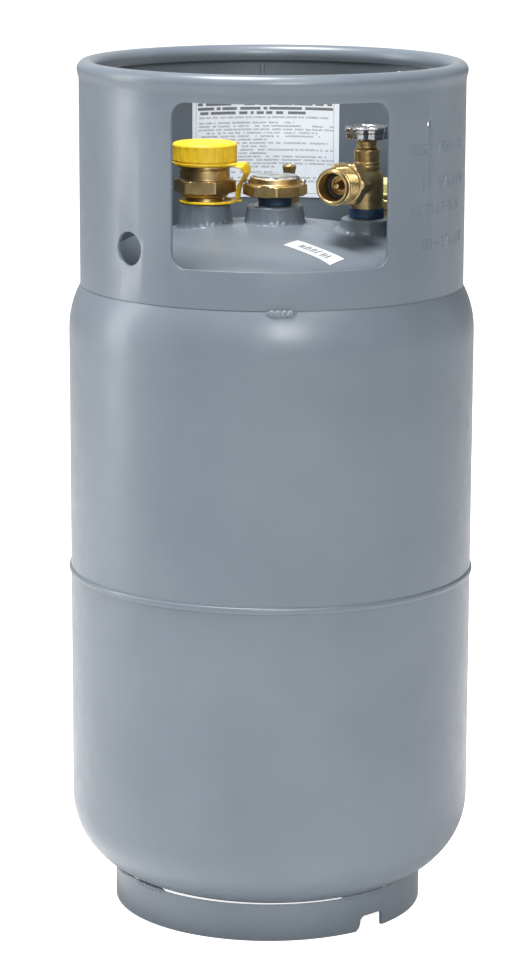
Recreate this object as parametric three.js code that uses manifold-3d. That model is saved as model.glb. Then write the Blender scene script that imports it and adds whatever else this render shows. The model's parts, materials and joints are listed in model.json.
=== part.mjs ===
// Lift-truck propane cylinder, 33.5 lb class: a two-piece welded steel vessel with a foot
// ring, a pierced valve collar, and brass fittings on the upper head.
// Millimetres, +Z up. The origin is the centre of the vessel's axis on the floor, and the
// collar's window faces -Y.

import * as THREE from 'three';
import { mergeVertices } from 'three/addons/utils/BufferGeometryUtils.js';
import Module from 'manifold-3d';

const wasm = await Module();
wasm.setup();

// ---- driving dimensions -------------------------------------------------------------

const GAP = 0.3;                    // clearance that keeps touching pieces apart
const SHELL_SIDES = 36;             // flats around the vessel, collar and foot ring
const PIECE_SIDES = 20;             // flats around a fitting
const WALL = 3;                     // sheet thickness of shells, collar and foot ring

const VESSEL = { radius: 157, seamZ: 270.5, lipHeight: 14, lipRun: 6 };
const LOWER_HEAD = { tangentZ: 87.2, knuckle: 62, crown: 341 };
const UPPER_HEAD = { tangentZ: 459.5, knuckle: 71, crown: 409 };
const SEAM_WELD = { halfHeight: 2, proud: 1.5 };

const COLLAR = { radius: 148.2, topZ: 666, rollRadius: 7, rollBulge: 1.5, rollEnd: 235 };
const WINDOW = { azimuth: 0, halfAngle: 32, bottomZ: 523.3, topZ: 646, corner: 10.5 };
const HAND_HOLD = { azimuth: 118.5, halfAngle: 19.5, bottomZ: 596, topZ: 648, corner: 12 };
const LOCATING_HOLE = { azimuth: -48.5, z: 534, radius: 12.7 };
const TAG_HOLE = { azimuth: 49, z: 626, radius: 2.5 };
const COLLAR_WELDS = { front: 0, right: 120, left: -120 };
const COLLAR_WELD_HALF_ANGLE = 4.4;

const FOOT = { radius: 121.4, height: 28.6, scarf: 1.3, offsetX: -1.5 };
const FOOT_NOTCH = { azimuth: 39.5, halfWidth: 11.5, height: 11.5, corner: 4 };
const FOOT_WELDS = [[25.5, 45], [66, 100], [160, 195], [-100, -65.5], [-59.5, -43.5]];

// Each fitting stands on a boss: where its axis is, and the boss's top and radii.
const FILL = { x: -51.5, y: 10.3, bossTop: 555.2, bossRadius: 20, bossFlare: 23.5, bore: 15.3 };
const GAUGE = { x: 2.3, y: 0, bossTop: 554.3, bossRadius: 21.8, bossFlare: 24.5, bore: 11.9 };
const SERVICE = { x: 71.2, y: -23.1, bossTop: 547.3, bossRadius: 19.3, bossFlare: 27, bore: 12.6 };
const RELIEF = { x: 93, y: 44, bossTop: 540, bossRadius: 16.5, bossFlare: 20, bore: 10.6 };
const BLEEDER = { x: 16.3, y: 59.3, bossTop: 545.5, bossRadius: 11, bossFlare: 14, bore: 6.3 };
const BOSS_WALL = 4;                // how far a boss's spigot reaches past the bore

const OUTLET = { z: 577.1, azimuth: -28.2, length: 65 };
const GAUGE_SCREW_OFFSET = 21.6;
const FLOAT = { z: 296, azimuth: -138.5, near: 62, far: 122, radius: 17 };

const LABEL = { azimuth: 179.6, halfAngle: 24.2, bottomZ: 542.5, topZ: 640, thickness: 0.3 };
const DOME_LABEL = { x: 27, y: -90, length: 46, width: 16.5, turn: -44, thickness: 0.35 };

// ---- colours and finishes -------------------------------------------------------------

const FINISH = {
  paint: [0x8b949c, 0.45, 0.2],
  brass: [0xb08d4a, 0.35, 0.9],
  steel: [0xa8abad, 0.35, 0.9],
  chrome: [0xd5d7d9, 0.15, 1.0],
  aluminium: [0xb9bcbe, 0.4, 0.9],
  yellowPlastic: [0xe6c21c, 0.45, 0.0],
  paleYellow: [0xe9e39a, 0.5, 0.0],
  whitePlastic: [0xe8e8e4, 0.5, 0.0],
  blackPlastic: [0x1c1d1f, 0.5, 0.0],
  sealant: [0x1d5a8c, 0.6, 0.0],
  rubber: [0x151515, 0.8, 0.0],
  clear: [0xf2f5f6, 0.05, 0.0],
  paper: [0xf0f1f1, 0.6, 0.0],
  foam: [0x2c2c2e, 0.9, 0.0],
};

// ---- solids ---------------------------------------------------------------------------

const rad = THREE.MathUtils.degToRad;

// Azimuth 0 is -Y, and it grows towards +X.
function polar(radius, azimuth, z = 0) {
  return new THREE.Vector3(radius * Math.sin(rad(azimuth)), -radius * Math.cos(rad(azimuth)), z);
}

// Turns a three.js geometry into a manifold solid, with its faces pointing out.
function solid(source) {
  const bare = source.clone();
  bare.deleteAttribute('normal');
  bare.deleteAttribute('uv');
  const merged = mergeVertices(bare, 1e-4);
  const positions = Float32Array.from(merged.attributes.position.array);
  const indices = [];
  let volume = 0;
  const a = new THREE.Vector3();
  const b = new THREE.Vector3();
  const c = new THREE.Vector3();
  for (let i = 0; i < merged.index.count; i += 3) {
    const [p, q, r] = [0, 1, 2].map((k) => merged.index.getX(i + k));
    if (p === q || q === r || r === p) continue;
    indices.push(p, q, r);
    a.fromArray(positions, 3 * p);
    b.fromArray(positions, 3 * q);
    c.fromArray(positions, 3 * r);
    volume += a.dot(b.cross(c));
  }
  if (volume < 0) indices.reverse();
  const mesh = new wasm.Mesh({
    numProp: 3,
    vertProperties: positions,
    triVerts: Uint32Array.from(indices),
  });
  return new wasm.Manifold(mesh);
}

function geometryOf(body) {
  const mesh = body.getMesh();
  const geometry = new THREE.BufferGeometry();
  geometry.setAttribute('position', new THREE.BufferAttribute(mesh.vertProperties, 3));
  geometry.setIndex(new THREE.BufferAttribute(mesh.triVerts, 1));
  return geometry;
}

// A solid of revolution about Z. The profile is a list of [radius, z], and it starts and
// ends on the axis, or runs all the way round.
function turned(profile, segments = PIECE_SIDES) {
  const points = profile.map(([radius, z]) => new THREE.Vector2(radius, z));
  const onAxis = profile[0][0] === 0 && profile[profile.length - 1][0] === 0;
  if (!onAxis) points.push(points[0].clone());
  const geometry = new THREE.LatheGeometry(points, segments);
  geometry.rotateX(Math.PI / 2);
  return solid(geometry);
}

function rod(radius, bottom, top, segments = PIECE_SIDES) {
  return turned([[0, bottom], [radius, bottom], [radius, top], [0, top]], segments);
}

function ring(inner, outer, bottom, top, segments = PIECE_SIDES) {
  return turned([[inner, bottom], [outer, bottom], [outer, top], [inner, top]], segments);
}

// A prism with flat sides, such as a hexagon, whose first corner is at the azimuth.
function prism(sides, cornerRadius, bottom, top, azimuth = 0) {
  const geometry = new THREE.CylinderGeometry(cornerRadius, cornerRadius, top - bottom, sides);
  geometry.rotateX(Math.PI / 2);
  geometry.rotateZ(rad(azimuth));
  geometry.translate(0, 0, (bottom + top) / 2);
  return solid(geometry);
}

function block(size, centre, turn = 0) {
  const geometry = new THREE.BoxGeometry(...size);
  geometry.rotateZ(rad(turn));
  geometry.translate(...centre);
  return solid(geometry);
}

// A solid of one outline, swept along a smooth curve through the points.
function swept(outline, points, steps) {
  const curve = new THREE.CatmullRomCurve3(points);
  return solid(new THREE.ExtrudeGeometry(outline, {
    steps,
    bevelEnabled: false,
    extrudePath: curve,
    curveSegments: 3,
  }));
}

function polygonPoints(sides, radius) {
  const step = (2 * Math.PI) / sides;
  return Array.from({ length: sides }, (_, i) => (
    new THREE.Vector2(radius * Math.cos(i * step), radius * Math.sin(i * step))));
}

function disc(sides, radius) {
  return new THREE.Shape(polygonPoints(sides, radius));
}

function pipe(points, outer, inner, steps, sides = 8) {
  const outline = disc(sides, outer);
  outline.holes.push(new THREE.Path(polygonPoints(sides, inner).reverse()));
  return swept(outline, points, steps);
}

// A compression spring along Z.
class Helix extends THREE.Curve {
  constructor(radius, bottom, top, turns) {
    super();
    Object.assign(this, { radius, bottom, top, turns });
  }

  getPoint(t, target = new THREE.Vector3()) {
    const angle = 2 * Math.PI * this.turns * t;
    const z = THREE.MathUtils.lerp(this.bottom, this.top, t);
    return target.set(this.radius * Math.cos(angle), this.radius * Math.sin(angle), z);
  }
}

function spring(radius, wire, bottom, top, turns) {
  const stepsPerTurn = 8;
  return solid(new THREE.ExtrudeGeometry(disc(3, wire), {
    steps: turns * stepsPerTurn,
    bevelEnabled: false,
    extrudePath: new Helix(radius, bottom + wire, top - wire, turns),
  }));
}

// A strip that follows a circle about Z, between two azimuths, with an [r, z] outline.
function arcStrip(outline, from, to, steps) {
  const count = outline.length;
  const positions = [];
  for (let i = 0; i <= steps; i += 1) {
    const azimuth = THREE.MathUtils.lerp(from, to, i / steps);
    outline.forEach(([radius, z]) => positions.push(...polar(radius, azimuth, z)));
  }
  const indices = [];
  for (let i = 0; i < steps; i += 1) {
    for (let j = 0; j < count; j += 1) {
      const here = i * count + j;
      const beside = i * count + ((j + 1) % count);
      indices.push(here, beside, beside + count, here, beside + count, here + count);
    }
  }
  const last = steps * count;
  for (let j = 1; j < count - 1; j += 1) {
    indices.push(0, j + 1, j, last, last + j, last + j + 1);
  }
  const geometry = new THREE.BufferGeometry();
  geometry.setAttribute('position', new THREE.Float32BufferAttribute(positions, 3));
  geometry.setIndex(indices);
  return solid(geometry);
}

// ---- heads ----------------------------------------------------------------------------

// Height of a torispherical head above its tangent line, at a radius, for a surface that
// is offset inwards from the outside.
function headHeight(head, radius, inset = 0) {
  const knuckle = head.knuckle - inset;
  const crown = head.crown - inset;
  const knuckleCentre = VESSEL.radius - head.knuckle;
  const apex = Math.sqrt((head.crown - head.knuckle) ** 2 - knuckleCentre ** 2);
  const joinRadius = (crown * knuckleCentre) / (head.crown - head.knuckle);
  if (radius < joinRadius) return Math.sqrt(crown ** 2 - radius ** 2) - apex;
  return Math.sqrt(Math.max(knuckle ** 2 - (radius - knuckleCentre) ** 2, 0));
}

// [radius, height] from the tangent line to the axis, closer together on the knuckle.
function headProfile(head, inset, crownSteps = 3, knuckleSteps = 4) {
  const knuckle = head.knuckle - inset;
  const crown = head.crown - inset;
  const knuckleCentre = VESSEL.radius - head.knuckle;
  const joinAngle = Math.asin(knuckleCentre / (head.crown - head.knuckle));
  const points = [];
  for (let i = 0; i <= knuckleSteps; i += 1) {
    const angle = THREE.MathUtils.lerp(Math.PI / 2, joinAngle, i / knuckleSteps);
    points.push([knuckleCentre + knuckle * Math.sin(angle), knuckle * Math.cos(angle)]);
  }
  for (let i = 1; i <= crownSteps; i += 1) {
    const radius = i === crownSteps ? 0 : crown * Math.sin(joinAngle * (1 - i / crownSteps));
    points.push([radius, headHeight(head, radius, inset)]);
  }
  return points;
}

// Everything under the upper head's outside, grown by an offset.
function upperHeadFill(offset) {
  const outside = headProfile(UPPER_HEAD, -offset).map(([r, h]) => [r, UPPER_HEAD.tangentZ + h]);
  const foot = UPPER_HEAD.tangentZ - 20;
  return turned([[0, foot], [VESSEL.radius + offset, foot], ...outside], SHELL_SIDES);
}

// ---- the tree -------------------------------------------------------------------------

const cylinder = new THREE.Group();

function material([color, roughness, metalness], opacity = 1) {
  return new THREE.MeshStandardMaterial({
    color, roughness, metalness, opacity, transparent: opacity < 1,
  });
}

function addPiece(parent, name, body, finish, opacity) {
  const mesh = new THREE.Mesh(geometryOf(body), material(finish, opacity));
  mesh.name = name;
  parent.add(mesh);
}

function station(place) {
  const group = new THREE.Group();
  group.position.set(place.x, place.y, 0);
  cylinder.add(group);
  return group;
}

// ---- vessel ---------------------------------------------------------------------------

function lowerShell() {
  const { radius, seamZ, lipHeight, lipRun } = VESSEL;
  const shoulder = seamZ - SEAM_WELD.halfHeight - GAP;
  const lipOuter = radius - WALL - GAP;
  const lipInner = lipOuter - WALL;
  const flip = ([r, h]) => [r, LOWER_HEAD.tangentZ - h];
  return turned([
    ...headProfile(LOWER_HEAD, 0).map(flip).reverse(),
    [radius, shoulder],
    [lipOuter, shoulder],
    [lipOuter, seamZ + lipHeight],
    [lipInner, seamZ + lipHeight],
    [lipInner, shoulder - lipRun],
    [radius - WALL, shoulder - 2 * lipRun],
    ...headProfile(LOWER_HEAD, WALL, 2, 3).map(flip),
  ], SHELL_SIDES);
}

function upperShell() {
  const { radius, seamZ } = VESSEL;
  const raise = ([r, h]) => [r, UPPER_HEAD.tangentZ + h];
  const edge = seamZ + SEAM_WELD.halfHeight + GAP;
  let shell = turned([
    ...headProfile(UPPER_HEAD, WALL, 2, 3).map(raise).reverse(),
    [radius - WALL, edge],
    [radius, edge],
    ...headProfile(UPPER_HEAD, 0).map(raise),
  ], SHELL_SIDES);
  [FILL, GAUGE, SERVICE, RELIEF, BLEEDER].forEach((place) => {
    const hole = rod(place.bore + BOSS_WALL + GAP, 480, 560).translate([place.x, place.y, 0]);
    shell = shell.subtract(hole);
  });
  return shell;
}

function seamWeld() {
  const inner = VESSEL.radius - WALL;
  const { halfHeight, proud } = SEAM_WELD;
  return turned([
    [inner, VESSEL.seamZ - halfHeight],
    [VESSEL.radius, VESSEL.seamZ - halfHeight],
    [VESSEL.radius + proud, VESSEL.seamZ],
    [VESSEL.radius, VESSEL.seamZ + halfHeight],
    [inner, VESSEL.seamZ + halfHeight],
  ], SHELL_SIDES);
}

addPiece(cylinder, 'lower_shell', lowerShell(), FINISH.paint);
addPiece(cylinder, 'upper_shell', upperShell(), FINISH.paint);
addPiece(cylinder, 'seam_weld', seamWeld(), FINISH.paint);

// ---- foot ring ------------------------------------------------------------------------

function footRing() {
  const inner = FOOT.radius - WALL;
  const band = turned([
    [inner, 0],
    [FOOT.radius, 0],
    [FOOT.radius, FOOT.height + FOOT.scarf],
    [inner, FOOT.height],
  ], SHELL_SIDES);
  const { azimuth, halfWidth, height, corner } = FOOT_NOTCH;
  const outline = new THREE.Shape();
  outline.moveTo(-halfWidth, -1);
  outline.lineTo(halfWidth, -1);
  outline.lineTo(halfWidth, height - corner);
  outline.quadraticCurveTo(halfWidth, height, halfWidth - corner, height);
  outline.lineTo(-halfWidth + corner, height);
  outline.quadraticCurveTo(-halfWidth, height, -halfWidth, height - corner);
  const cutter = new THREE.ExtrudeGeometry(outline, {
    depth: 4 * WALL,
    bevelEnabled: false,
    curveSegments: 3,
  });
  cutter.rotateX(Math.PI / 2);
  cutter.translate(0, -FOOT.radius + 2 * WALL, 0);
  cutter.rotateZ(rad(azimuth));
  return band.subtract(solid(cutter));
}

// A short fillet bead in the corner between the foot ring and the lower head.
function footWeld([from, to]) {
  const wall = FOOT.radius + GAP;
  const outline = [[wall, 26], [wall + 2.2, 27.2], [wall + 3, 30.4], [wall, 29.8]];
  return arcStrip(outline, from, to, Math.ceil((to - from) / 5));
}

const foot = new THREE.Group();
foot.position.set(FOOT.offsetX, 0, 0);
cylinder.add(foot);
addPiece(foot, 'foot_ring', footRing(), FINISH.paint);
FOOT_WELDS.forEach((span, i) => {
  addPiece(foot, `foot_weld_${i + 1}`, footWeld(span), FINISH.paint);
});

// ---- collar ---------------------------------------------------------------------------

// A round-cornered opening through the collar's wall, cut square to the middle of it.
function collarCutter({ azimuth, halfAngle, bottomZ, topZ, corner }) {
  const halfWidth = COLLAR.radius * Math.sin(rad(halfAngle));
  const height = topZ - bottomZ;
  const outline = new THREE.Shape();
  outline.moveTo(-halfWidth + corner, 0);
  outline.lineTo(halfWidth - corner, 0);
  outline.absarc(halfWidth - corner, corner, corner, -Math.PI / 2, 0);
  outline.lineTo(halfWidth, height - corner);
  outline.absarc(halfWidth - corner, height - corner, corner, 0, Math.PI / 2);
  outline.lineTo(-halfWidth + corner, height);
  outline.absarc(-halfWidth + corner, height - corner, corner, Math.PI / 2, Math.PI);
  outline.lineTo(-halfWidth, corner);
  outline.absarc(-halfWidth + corner, corner, corner, Math.PI, 1.5 * Math.PI);
  const cutter = new THREE.ExtrudeGeometry(outline, {
    depth: 80,
    bevelEnabled: false,
    curveSegments: 4,
  });
  cutter.rotateX(Math.PI / 2);
  cutter.translate(0, -90, bottomZ);
  cutter.rotateZ(rad(azimuth));
  return solid(cutter);
}

function collarDrill({ azimuth, z, radius }) {
  const drill = new THREE.CylinderGeometry(radius, radius, 30, 24);
  drill.translate(0, -COLLAR.radius, 0);
  drill.rotateZ(rad(azimuth));
  drill.translate(0, 0, z);
  return solid(drill);
}

function collarRing() {
  const { radius, topZ, rollRadius, rollBulge, rollEnd } = COLLAR;
  const inner = radius - WALL;
  const rollR = radius + rollBulge - rollRadius;
  const rollZ = topZ - rollRadius;
  const rollPoint = (size, degrees) => (
    [rollR + size * Math.cos(rad(degrees)), rollZ + size * Math.sin(rad(degrees))]);
  const seatZ = (r) => UPPER_HEAD.tangentZ + headHeight(UPPER_HEAD, r) + 2 * GAP;
  const outerArc = [-5, 35, 65, 90, 120, 155, 195, rollEnd];
  const innerArc = [rollEnd, 180, 125, 70, 20, -15];
  const neckZ = rollZ - rollRadius - 2;
  return turned([
    [inner, seatZ(inner)],
    [radius, seatZ(radius)],
    [radius, neckZ],
    ...outerArc.map((angle) => rollPoint(rollRadius, angle)),
    ...innerArc.map((angle) => rollPoint(rollRadius - WALL, angle)),
    [inner, neckZ],
  ], SHELL_SIDES);
}

function collar() {
  const mirrored = { ...HAND_HOLD, azimuth: -HAND_HOLD.azimuth };
  return collarRing()
    .subtract(collarCutter(WINDOW))
    .subtract(collarCutter(HAND_HOLD))
    .subtract(collarCutter(mirrored))
    .subtract(collarDrill(LOCATING_HOLE))
    .subtract(collarDrill(TAG_HOLE));
}

// A tack weld that bridges the collar's foot and the shoulder of the head.
function collarWeld(azimuth) {
  const seat = (r) => UPPER_HEAD.tangentZ + headHeight(UPPER_HEAD, r);
  const wall = COLLAR.radius + GAP;
  const outline = [
    [wall, seat(wall) + 2 * GAP],
    [wall + 2.2, seat(wall + 2.2) + 2 * GAP],
    [wall + 2.4, seat(wall + 2.2) + 4.4],
    [wall, seat(wall) + 5],
  ];
  return arcStrip(outline, azimuth - COLLAR_WELD_HALF_ANGLE, azimuth + COLLAR_WELD_HALF_ANGLE, 4);
}

addPiece(cylinder, 'collar', collar(), FINISH.paint);
Object.entries(COLLAR_WELDS).forEach(([side, azimuth]) => {
  addPiece(cylinder, `collar_weld_${side}`, collarWeld(azimuth), FINISH.paint);
});

// ---- bosses ---------------------------------------------------------------------------

const headFill = upperHeadFill(GAP);

// A welded half-coupling: it flares out onto the head, and a spigot passes through it.
function boss({ x, y, bossTop, bossRadius, bossFlare, bore }) {
  const chamfer = 1.2;
  const skirt = turned([
    [0, bossTop - 40],
    [bossFlare + 6, bossTop - 40],
    [bossFlare, bossTop - 15],
    [bossRadius + 1.2, bossTop - 8],
    [bossRadius, bossTop - 4],
    [bossRadius, bossTop - chamfer],
    [bossRadius - chamfer, bossTop],
    [0, bossTop],
  ]);
  const seated = skirt.translate([x, y, 0]).subtract(headFill).translate([-x, -y, 0]);
  return seated
    .add(rod(bore + BOSS_WALL, bossTop - 26, bossTop - 6))
    .subtract(rod(bore, bossTop - 60, bossTop + 10));
}

const stations = {};
Object.entries({
  fill: FILL, gauge: GAUGE, service: SERVICE, relief: RELIEF, bleeder: BLEEDER,
}).forEach(([name, place]) => {
  stations[name] = station(place);
  addPiece(stations[name], `${name}_boss`, boss(place), FINISH.paint);
});

// ---- fill valve -----------------------------------------------------------------------

const FILL_THREAD = { radius: 21.9, bottom: 582, top: 599.6 };
const FILL_BORE = { radius: 12.6, seatRadius: 10.6, seatZ: 588, mouthRadius: 16.5, mouthZ: 591 };
const FILL_GUIDE = { bottom: 553, top: 556 };
const CAP = { bottom: 584.3, top: 602, radius: 25, inner: 22.4, ceiling: 600.6, groove: 587 };

function fillValveBody() {
  const { radius, seatRadius, seatZ, mouthRadius, mouthZ } = FILL_BORE;
  const spigot = FILL.bore - GAP;
  return turned([
    [radius, 530],
    [spigot, 530],
    [spigot, 558.6],
    [18.6, 559.8],
    [19.4, 562.8],
    [19.2, FILL_THREAD.bottom],
    [FILL_THREAD.radius, FILL_THREAD.bottom + 1],
    [FILL_THREAD.radius, FILL_THREAD.top - 1],
    [FILL_THREAD.radius - 1, FILL_THREAD.top],
    [mouthRadius, FILL_THREAD.top],
    [mouthRadius, mouthZ],
    [seatRadius, mouthZ],
    [seatRadius, seatZ],
    [radius, seatZ],
  ]).add(prism(6, 24.4, 562.8, 573.2, 18.5).subtract(rod(15, 550, 580)));
}

function fillPoppet() {
  return turned([
    [0, 549],
    [2.5, 549],
    [2.5, 584.4],
    [11.4, 584.4],
    [11.4, FILL_BORE.seatZ - GAP],
    [3.5, FILL_BORE.seatZ - GAP],
    [3.2, 594.5],
    [0, 594.5],
  ], 16);
}

function fillGuide() {
  let plate = ring(2.9, FILL_BORE.radius - GAP, FILL_GUIDE.bottom, FILL_GUIDE.top);
  for (let i = 0; i < 3; i += 1) {
    const at = polar(7.6, 120 * i);
    plate = plate.subtract(rod(2.6, 540, 560, 8).translate([at.x, at.y, 0]));
  }
  return plate;
}

function fillCap() {
  const hub = CAP.radius - 1.3;
  return turned([
    [CAP.inner, CAP.bottom],
    [hub, CAP.bottom],
    [hub, CAP.groove],
    [CAP.radius, CAP.groove],
    [CAP.radius, CAP.top - 2.2],
    [CAP.radius - 0.8, CAP.top - 0.7],
    [CAP.radius - 2.4, CAP.top],
    [0, CAP.top],
    [0, CAP.ceiling],
    [CAP.inner, CAP.ceiling],
  ]);
}

const TAB_AZIMUTH = 57.6;
const TAB_REACH = 28.5;

function capLoop() {
  const inner = CAP.radius - 1;
  const outer = CAP.radius + 0.4;
  const [bottom, top] = [CAP.bottom + GAP, CAP.groove - GAP];
  const middle = polar((inner + TAB_REACH) / 2 + 0.4, TAB_AZIMUTH);
  const tab = block(
    [6.6, TAB_REACH - inner - 0.8, top - bottom],
    [middle.x, middle.y, (bottom + top) / 2],
    TAB_AZIMUTH,
  );
  return ring(inner, outer, bottom, top).add(tab);
}

// The strap leaves the loop's tab, bows out and comes down onto the anchor ring's tab.
function tetherStrap() {
  const route = [
    polar(TAB_REACH + 2.5 * GAP, TAB_AZIMUTH, 585.6),
    new THREE.Vector3(28.8, -17.2, 585),
    new THREE.Vector3(32, -13.8, 580.6),
    new THREE.Vector3(30.6, -7.6, 575),
    new THREE.Vector3(27.2, -1.8, 569),
    new THREE.Vector3(25.9, 0.2, 563),
    new THREE.Vector3(25.2, 0, 557.7),
  ];
  return swept(disc(6, 1.5), route, 14);
}

function tetherRing() {
  const [bottom, top] = [555.5, 557.2];
  const band = ring(18.2, 22.4, bottom, top).translate([2.5, 0, 0]);
  return band.add(block([5.6, 6.8, top - bottom], [25.4, 0, (bottom + top) / 2]));
}

addPiece(stations.fill, 'fill_valve_body', fillValveBody(), FINISH.brass);
addPiece(stations.fill, 'fill_poppet', fillPoppet(), FINISH.brass);
addPiece(stations.fill, 'fill_poppet_spring',
  spring(7.4, 0.8, FILL_GUIDE.top + GAP, 584.1, 6), FINISH.steel);
addPiece(stations.fill, 'fill_guide', fillGuide(), FINISH.brass);
addPiece(stations.fill, 'fill_cap', fillCap(), FINISH.yellowPlastic);
addPiece(stations.fill, 'cap_loop', capLoop(), FINISH.yellowPlastic);
addPiece(stations.fill, 'tether_strap', tetherStrap(), FINISH.yellowPlastic);
addPiece(stations.fill, 'tether_ring', tetherRing(), FINISH.yellowPlastic);

// ---- contents gauge -------------------------------------------------------------------

const HEAD = { flangeBottom: 561.8, flangeTop: 570.9, rimTop: 574.6, floor: 572.3, rim: 19.4 };
const STEM_TUBE = { outer: 7.6, inner: 6.2, bottom: 312, top: 560 };

function gaugeHead() {
  const spigot = GAUGE.bore - GAP;
  let head = turned([
    [0, HEAD.flangeTop - 3],
    [8, HEAD.flangeTop - 3],
    [8, 530],
    [spigot, 530],
    [spigot, HEAD.flangeBottom + 2],
    [HEAD.rim, HEAD.flangeBottom + 2],
    [HEAD.rim, HEAD.rimTop],
    [17.4, HEAD.rimTop],
    [17.4, HEAD.floor],
    [0, HEAD.floor],
  ]);
  const flange = prism(8, 25, HEAD.flangeBottom, HEAD.flangeTop);
  head = head.add(flange.subtract(rod(10, 550, 580)));
  [-1, 1].forEach((side) => {
    const hole = rod(1.7, 550, 580, 12).translate([side * GAUGE_SCREW_OFFSET, 0, 0]);
    head = head.subtract(hole);
  });
  return head;
}

function gaugeLens() {
  return turned([
    [16.6, HEAD.rimTop + GAP],
    [18.6, HEAD.rimTop + GAP],
    [18.6, 575.8],
    [17.2, 577.1],
    [10, 578.1],
    [0, 578.4],
    [0, 577.2],
    [10, 577],
    [15.8, 576.2],
    [16.6, 575.6],
  ]);
}

function gaugePointer() {
  const outline = new THREE.Shape();
  outline.moveTo(-1.6, -5);
  outline.lineTo(1.6, -5);
  outline.lineTo(0.5, 13.5);
  outline.lineTo(-0.5, 13.5);
  outline.closePath();
  const blade = new THREE.ExtrudeGeometry(outline, { depth: 0.6, bevelEnabled: false });
  blade.translate(0, 0, 574.3);
  return solid(blade).add(rod(2.4, 573.8, 575.7, 16)).subtract(rod(1.1, 560, 580, 12));
}

function gaugeScrew() {
  return turned([[0, 565], [1.4, 565], [1.4, 571.2], [2.2, 571.2], [2.2, 573.3], [1.6, 573.9], [0, 573.9]], 12);
}

function floatArm() {
  const hub = ring(1.9, 4.2, FLOAT.z - 5, FLOAT.z + 5, 16);
  const reach = new THREE.CylinderGeometry(1.5, 1.5, FLOAT.far - 20, 10);
  reach.translate(0, -(FLOAT.far - 20) / 2 - 3, 0);
  reach.rotateZ(rad(FLOAT.azimuth));
  reach.translate(0, 0, FLOAT.z);
  return hub.add(solid(reach));
}

function floatBody() {
  const { near, far, radius } = FLOAT;
  const round = 6;
  const profile = [
    [1.8, near],
    [radius - round, near],
    [radius - 1.8, near + 1.8],
    [radius, near + round],
    [radius, far - round],
    [radius - 1.8, far - 1.8],
    [radius - round, far],
    [0, far],
    [0, far - 10],
    [1.8, far - 10],
  ];
  const points = profile.map(([r, s]) => new THREE.Vector2(r, s));
  points.push(points[0].clone());
  const geometry = new THREE.LatheGeometry(points, 16);
  geometry.rotateX(Math.PI);
  geometry.rotateZ(rad(FLOAT.azimuth));
  geometry.translate(0, 0, FLOAT.z);
  return solid(geometry);
}

addPiece(stations.gauge, 'gauge_head', gaugeHead(), FINISH.brass);
addPiece(stations.gauge, 'gauge_thread_sealant',
  ring(11.9, 12.6, GAUGE.bossTop + GAP, HEAD.flangeBottom - GAP), FINISH.sealant);
addPiece(stations.gauge, 'gauge_dial_face',
  rod(17, HEAD.floor + GAP, 573.4).add(rod(0.7, 573.3, 576.1, 10)), FINISH.whitePlastic);
addPiece(stations.gauge, 'gauge_pointer', gaugePointer(), FINISH.blackPlastic);
addPiece(stations.gauge, 'gauge_lens', gaugeLens(), FINISH.clear, 0.35);
[-1, 1].forEach((side, i) => {
  const screw = gaugeScrew().translate([side * GAUGE_SCREW_OFFSET, 0, 0]);
  addPiece(stations.gauge, `gauge_screw_${i + 1}`, screw, FINISH.steel);
});
addPiece(stations.gauge, 'gauge_stem_tube',
  ring(STEM_TUBE.inner, STEM_TUBE.outer, STEM_TUBE.bottom, STEM_TUBE.top, 20), FINISH.aluminium);
addPiece(stations.gauge, 'gauge_shaft', rod(1.6, FLOAT.z - 8, 563.6, 12), FINISH.steel);
addPiece(stations.gauge, 'gauge_magnet', rod(5.4, 563.9, 567.4, 16), FINISH.steel);
addPiece(stations.gauge, 'float_arm', floatArm(), FINISH.steel);
addPiece(stations.gauge, 'float', floatBody(), FINISH.foam);

// ---- service valve --------------------------------------------------------------------

const SEAT = { z: 566, radius: 4.5 };
const CHAMBER = { radius: 8, bottom: 566, top: 588 };
const WHEEL = { bottom: 607.2, top: 617.4, radius: 17.3, lobes: 6, lobeDepth: 1.7 };
const COUPLER = { hexFrom: 30, hexTo: 43.4, cavity: 33, mouth: 10.4, seatFrom: 47, seatTo: 49 };

// Points a shape that was made along Z along the valve's outlet.
function alongOutlet(body) {
  return body
    .rotate([90, 0, OUTLET.azimuth])
    .translate([0, 0, OUTLET.z]);
}

function serviceValveBody() {
  const spigot = SERVICE.bore - GAP;
  const outer = turned([
    [0, 527],
    [spigot, 527],
    [spigot, 561],
    [12.8, 565],
    [12.8, 578],
    [11.6, 581.5],
    [10.2, 584],
    [10.2, CHAMBER.top],
    [0, CHAMBER.top],
  ]);
  return outer
    .add(alongOutlet(rod(10.6, 0, COUPLER.hexFrom - GAP, 24)))
    .subtract(rod(7, 520, SEAT.z - 4, 20))
    .subtract(rod(SEAT.radius, 550, 580, 20))
    .subtract(rod(CHAMBER.radius, CHAMBER.bottom, 600, 24))
    .subtract(alongOutlet(rod(5.5, 0, 40, 20)));
}

function serviceBonnet() {
  return turned([
    [3.4, 584.6],
    [7.6, 584.6],
    [7.6, CHAMBER.top + GAP],
    [9.6, CHAMBER.top + GAP],
    [9.6, 599.6],
    [7.7, 600.6],
    [7.7, 606.6],
    [3.4, 606.6],
  ], 16);
}

function seatDisc() {
  return turned([
    [0, CHAMBER.bottom + GAP],
    [6.8, CHAMBER.bottom + GAP],
    [6.8, 570.5],
    [5.2, 571.5],
    [5.2, 579.6],
    [3.4, 579.6],
    [3.4, 571.6],
    [0, 571.6],
  ], 16);
}

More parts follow.
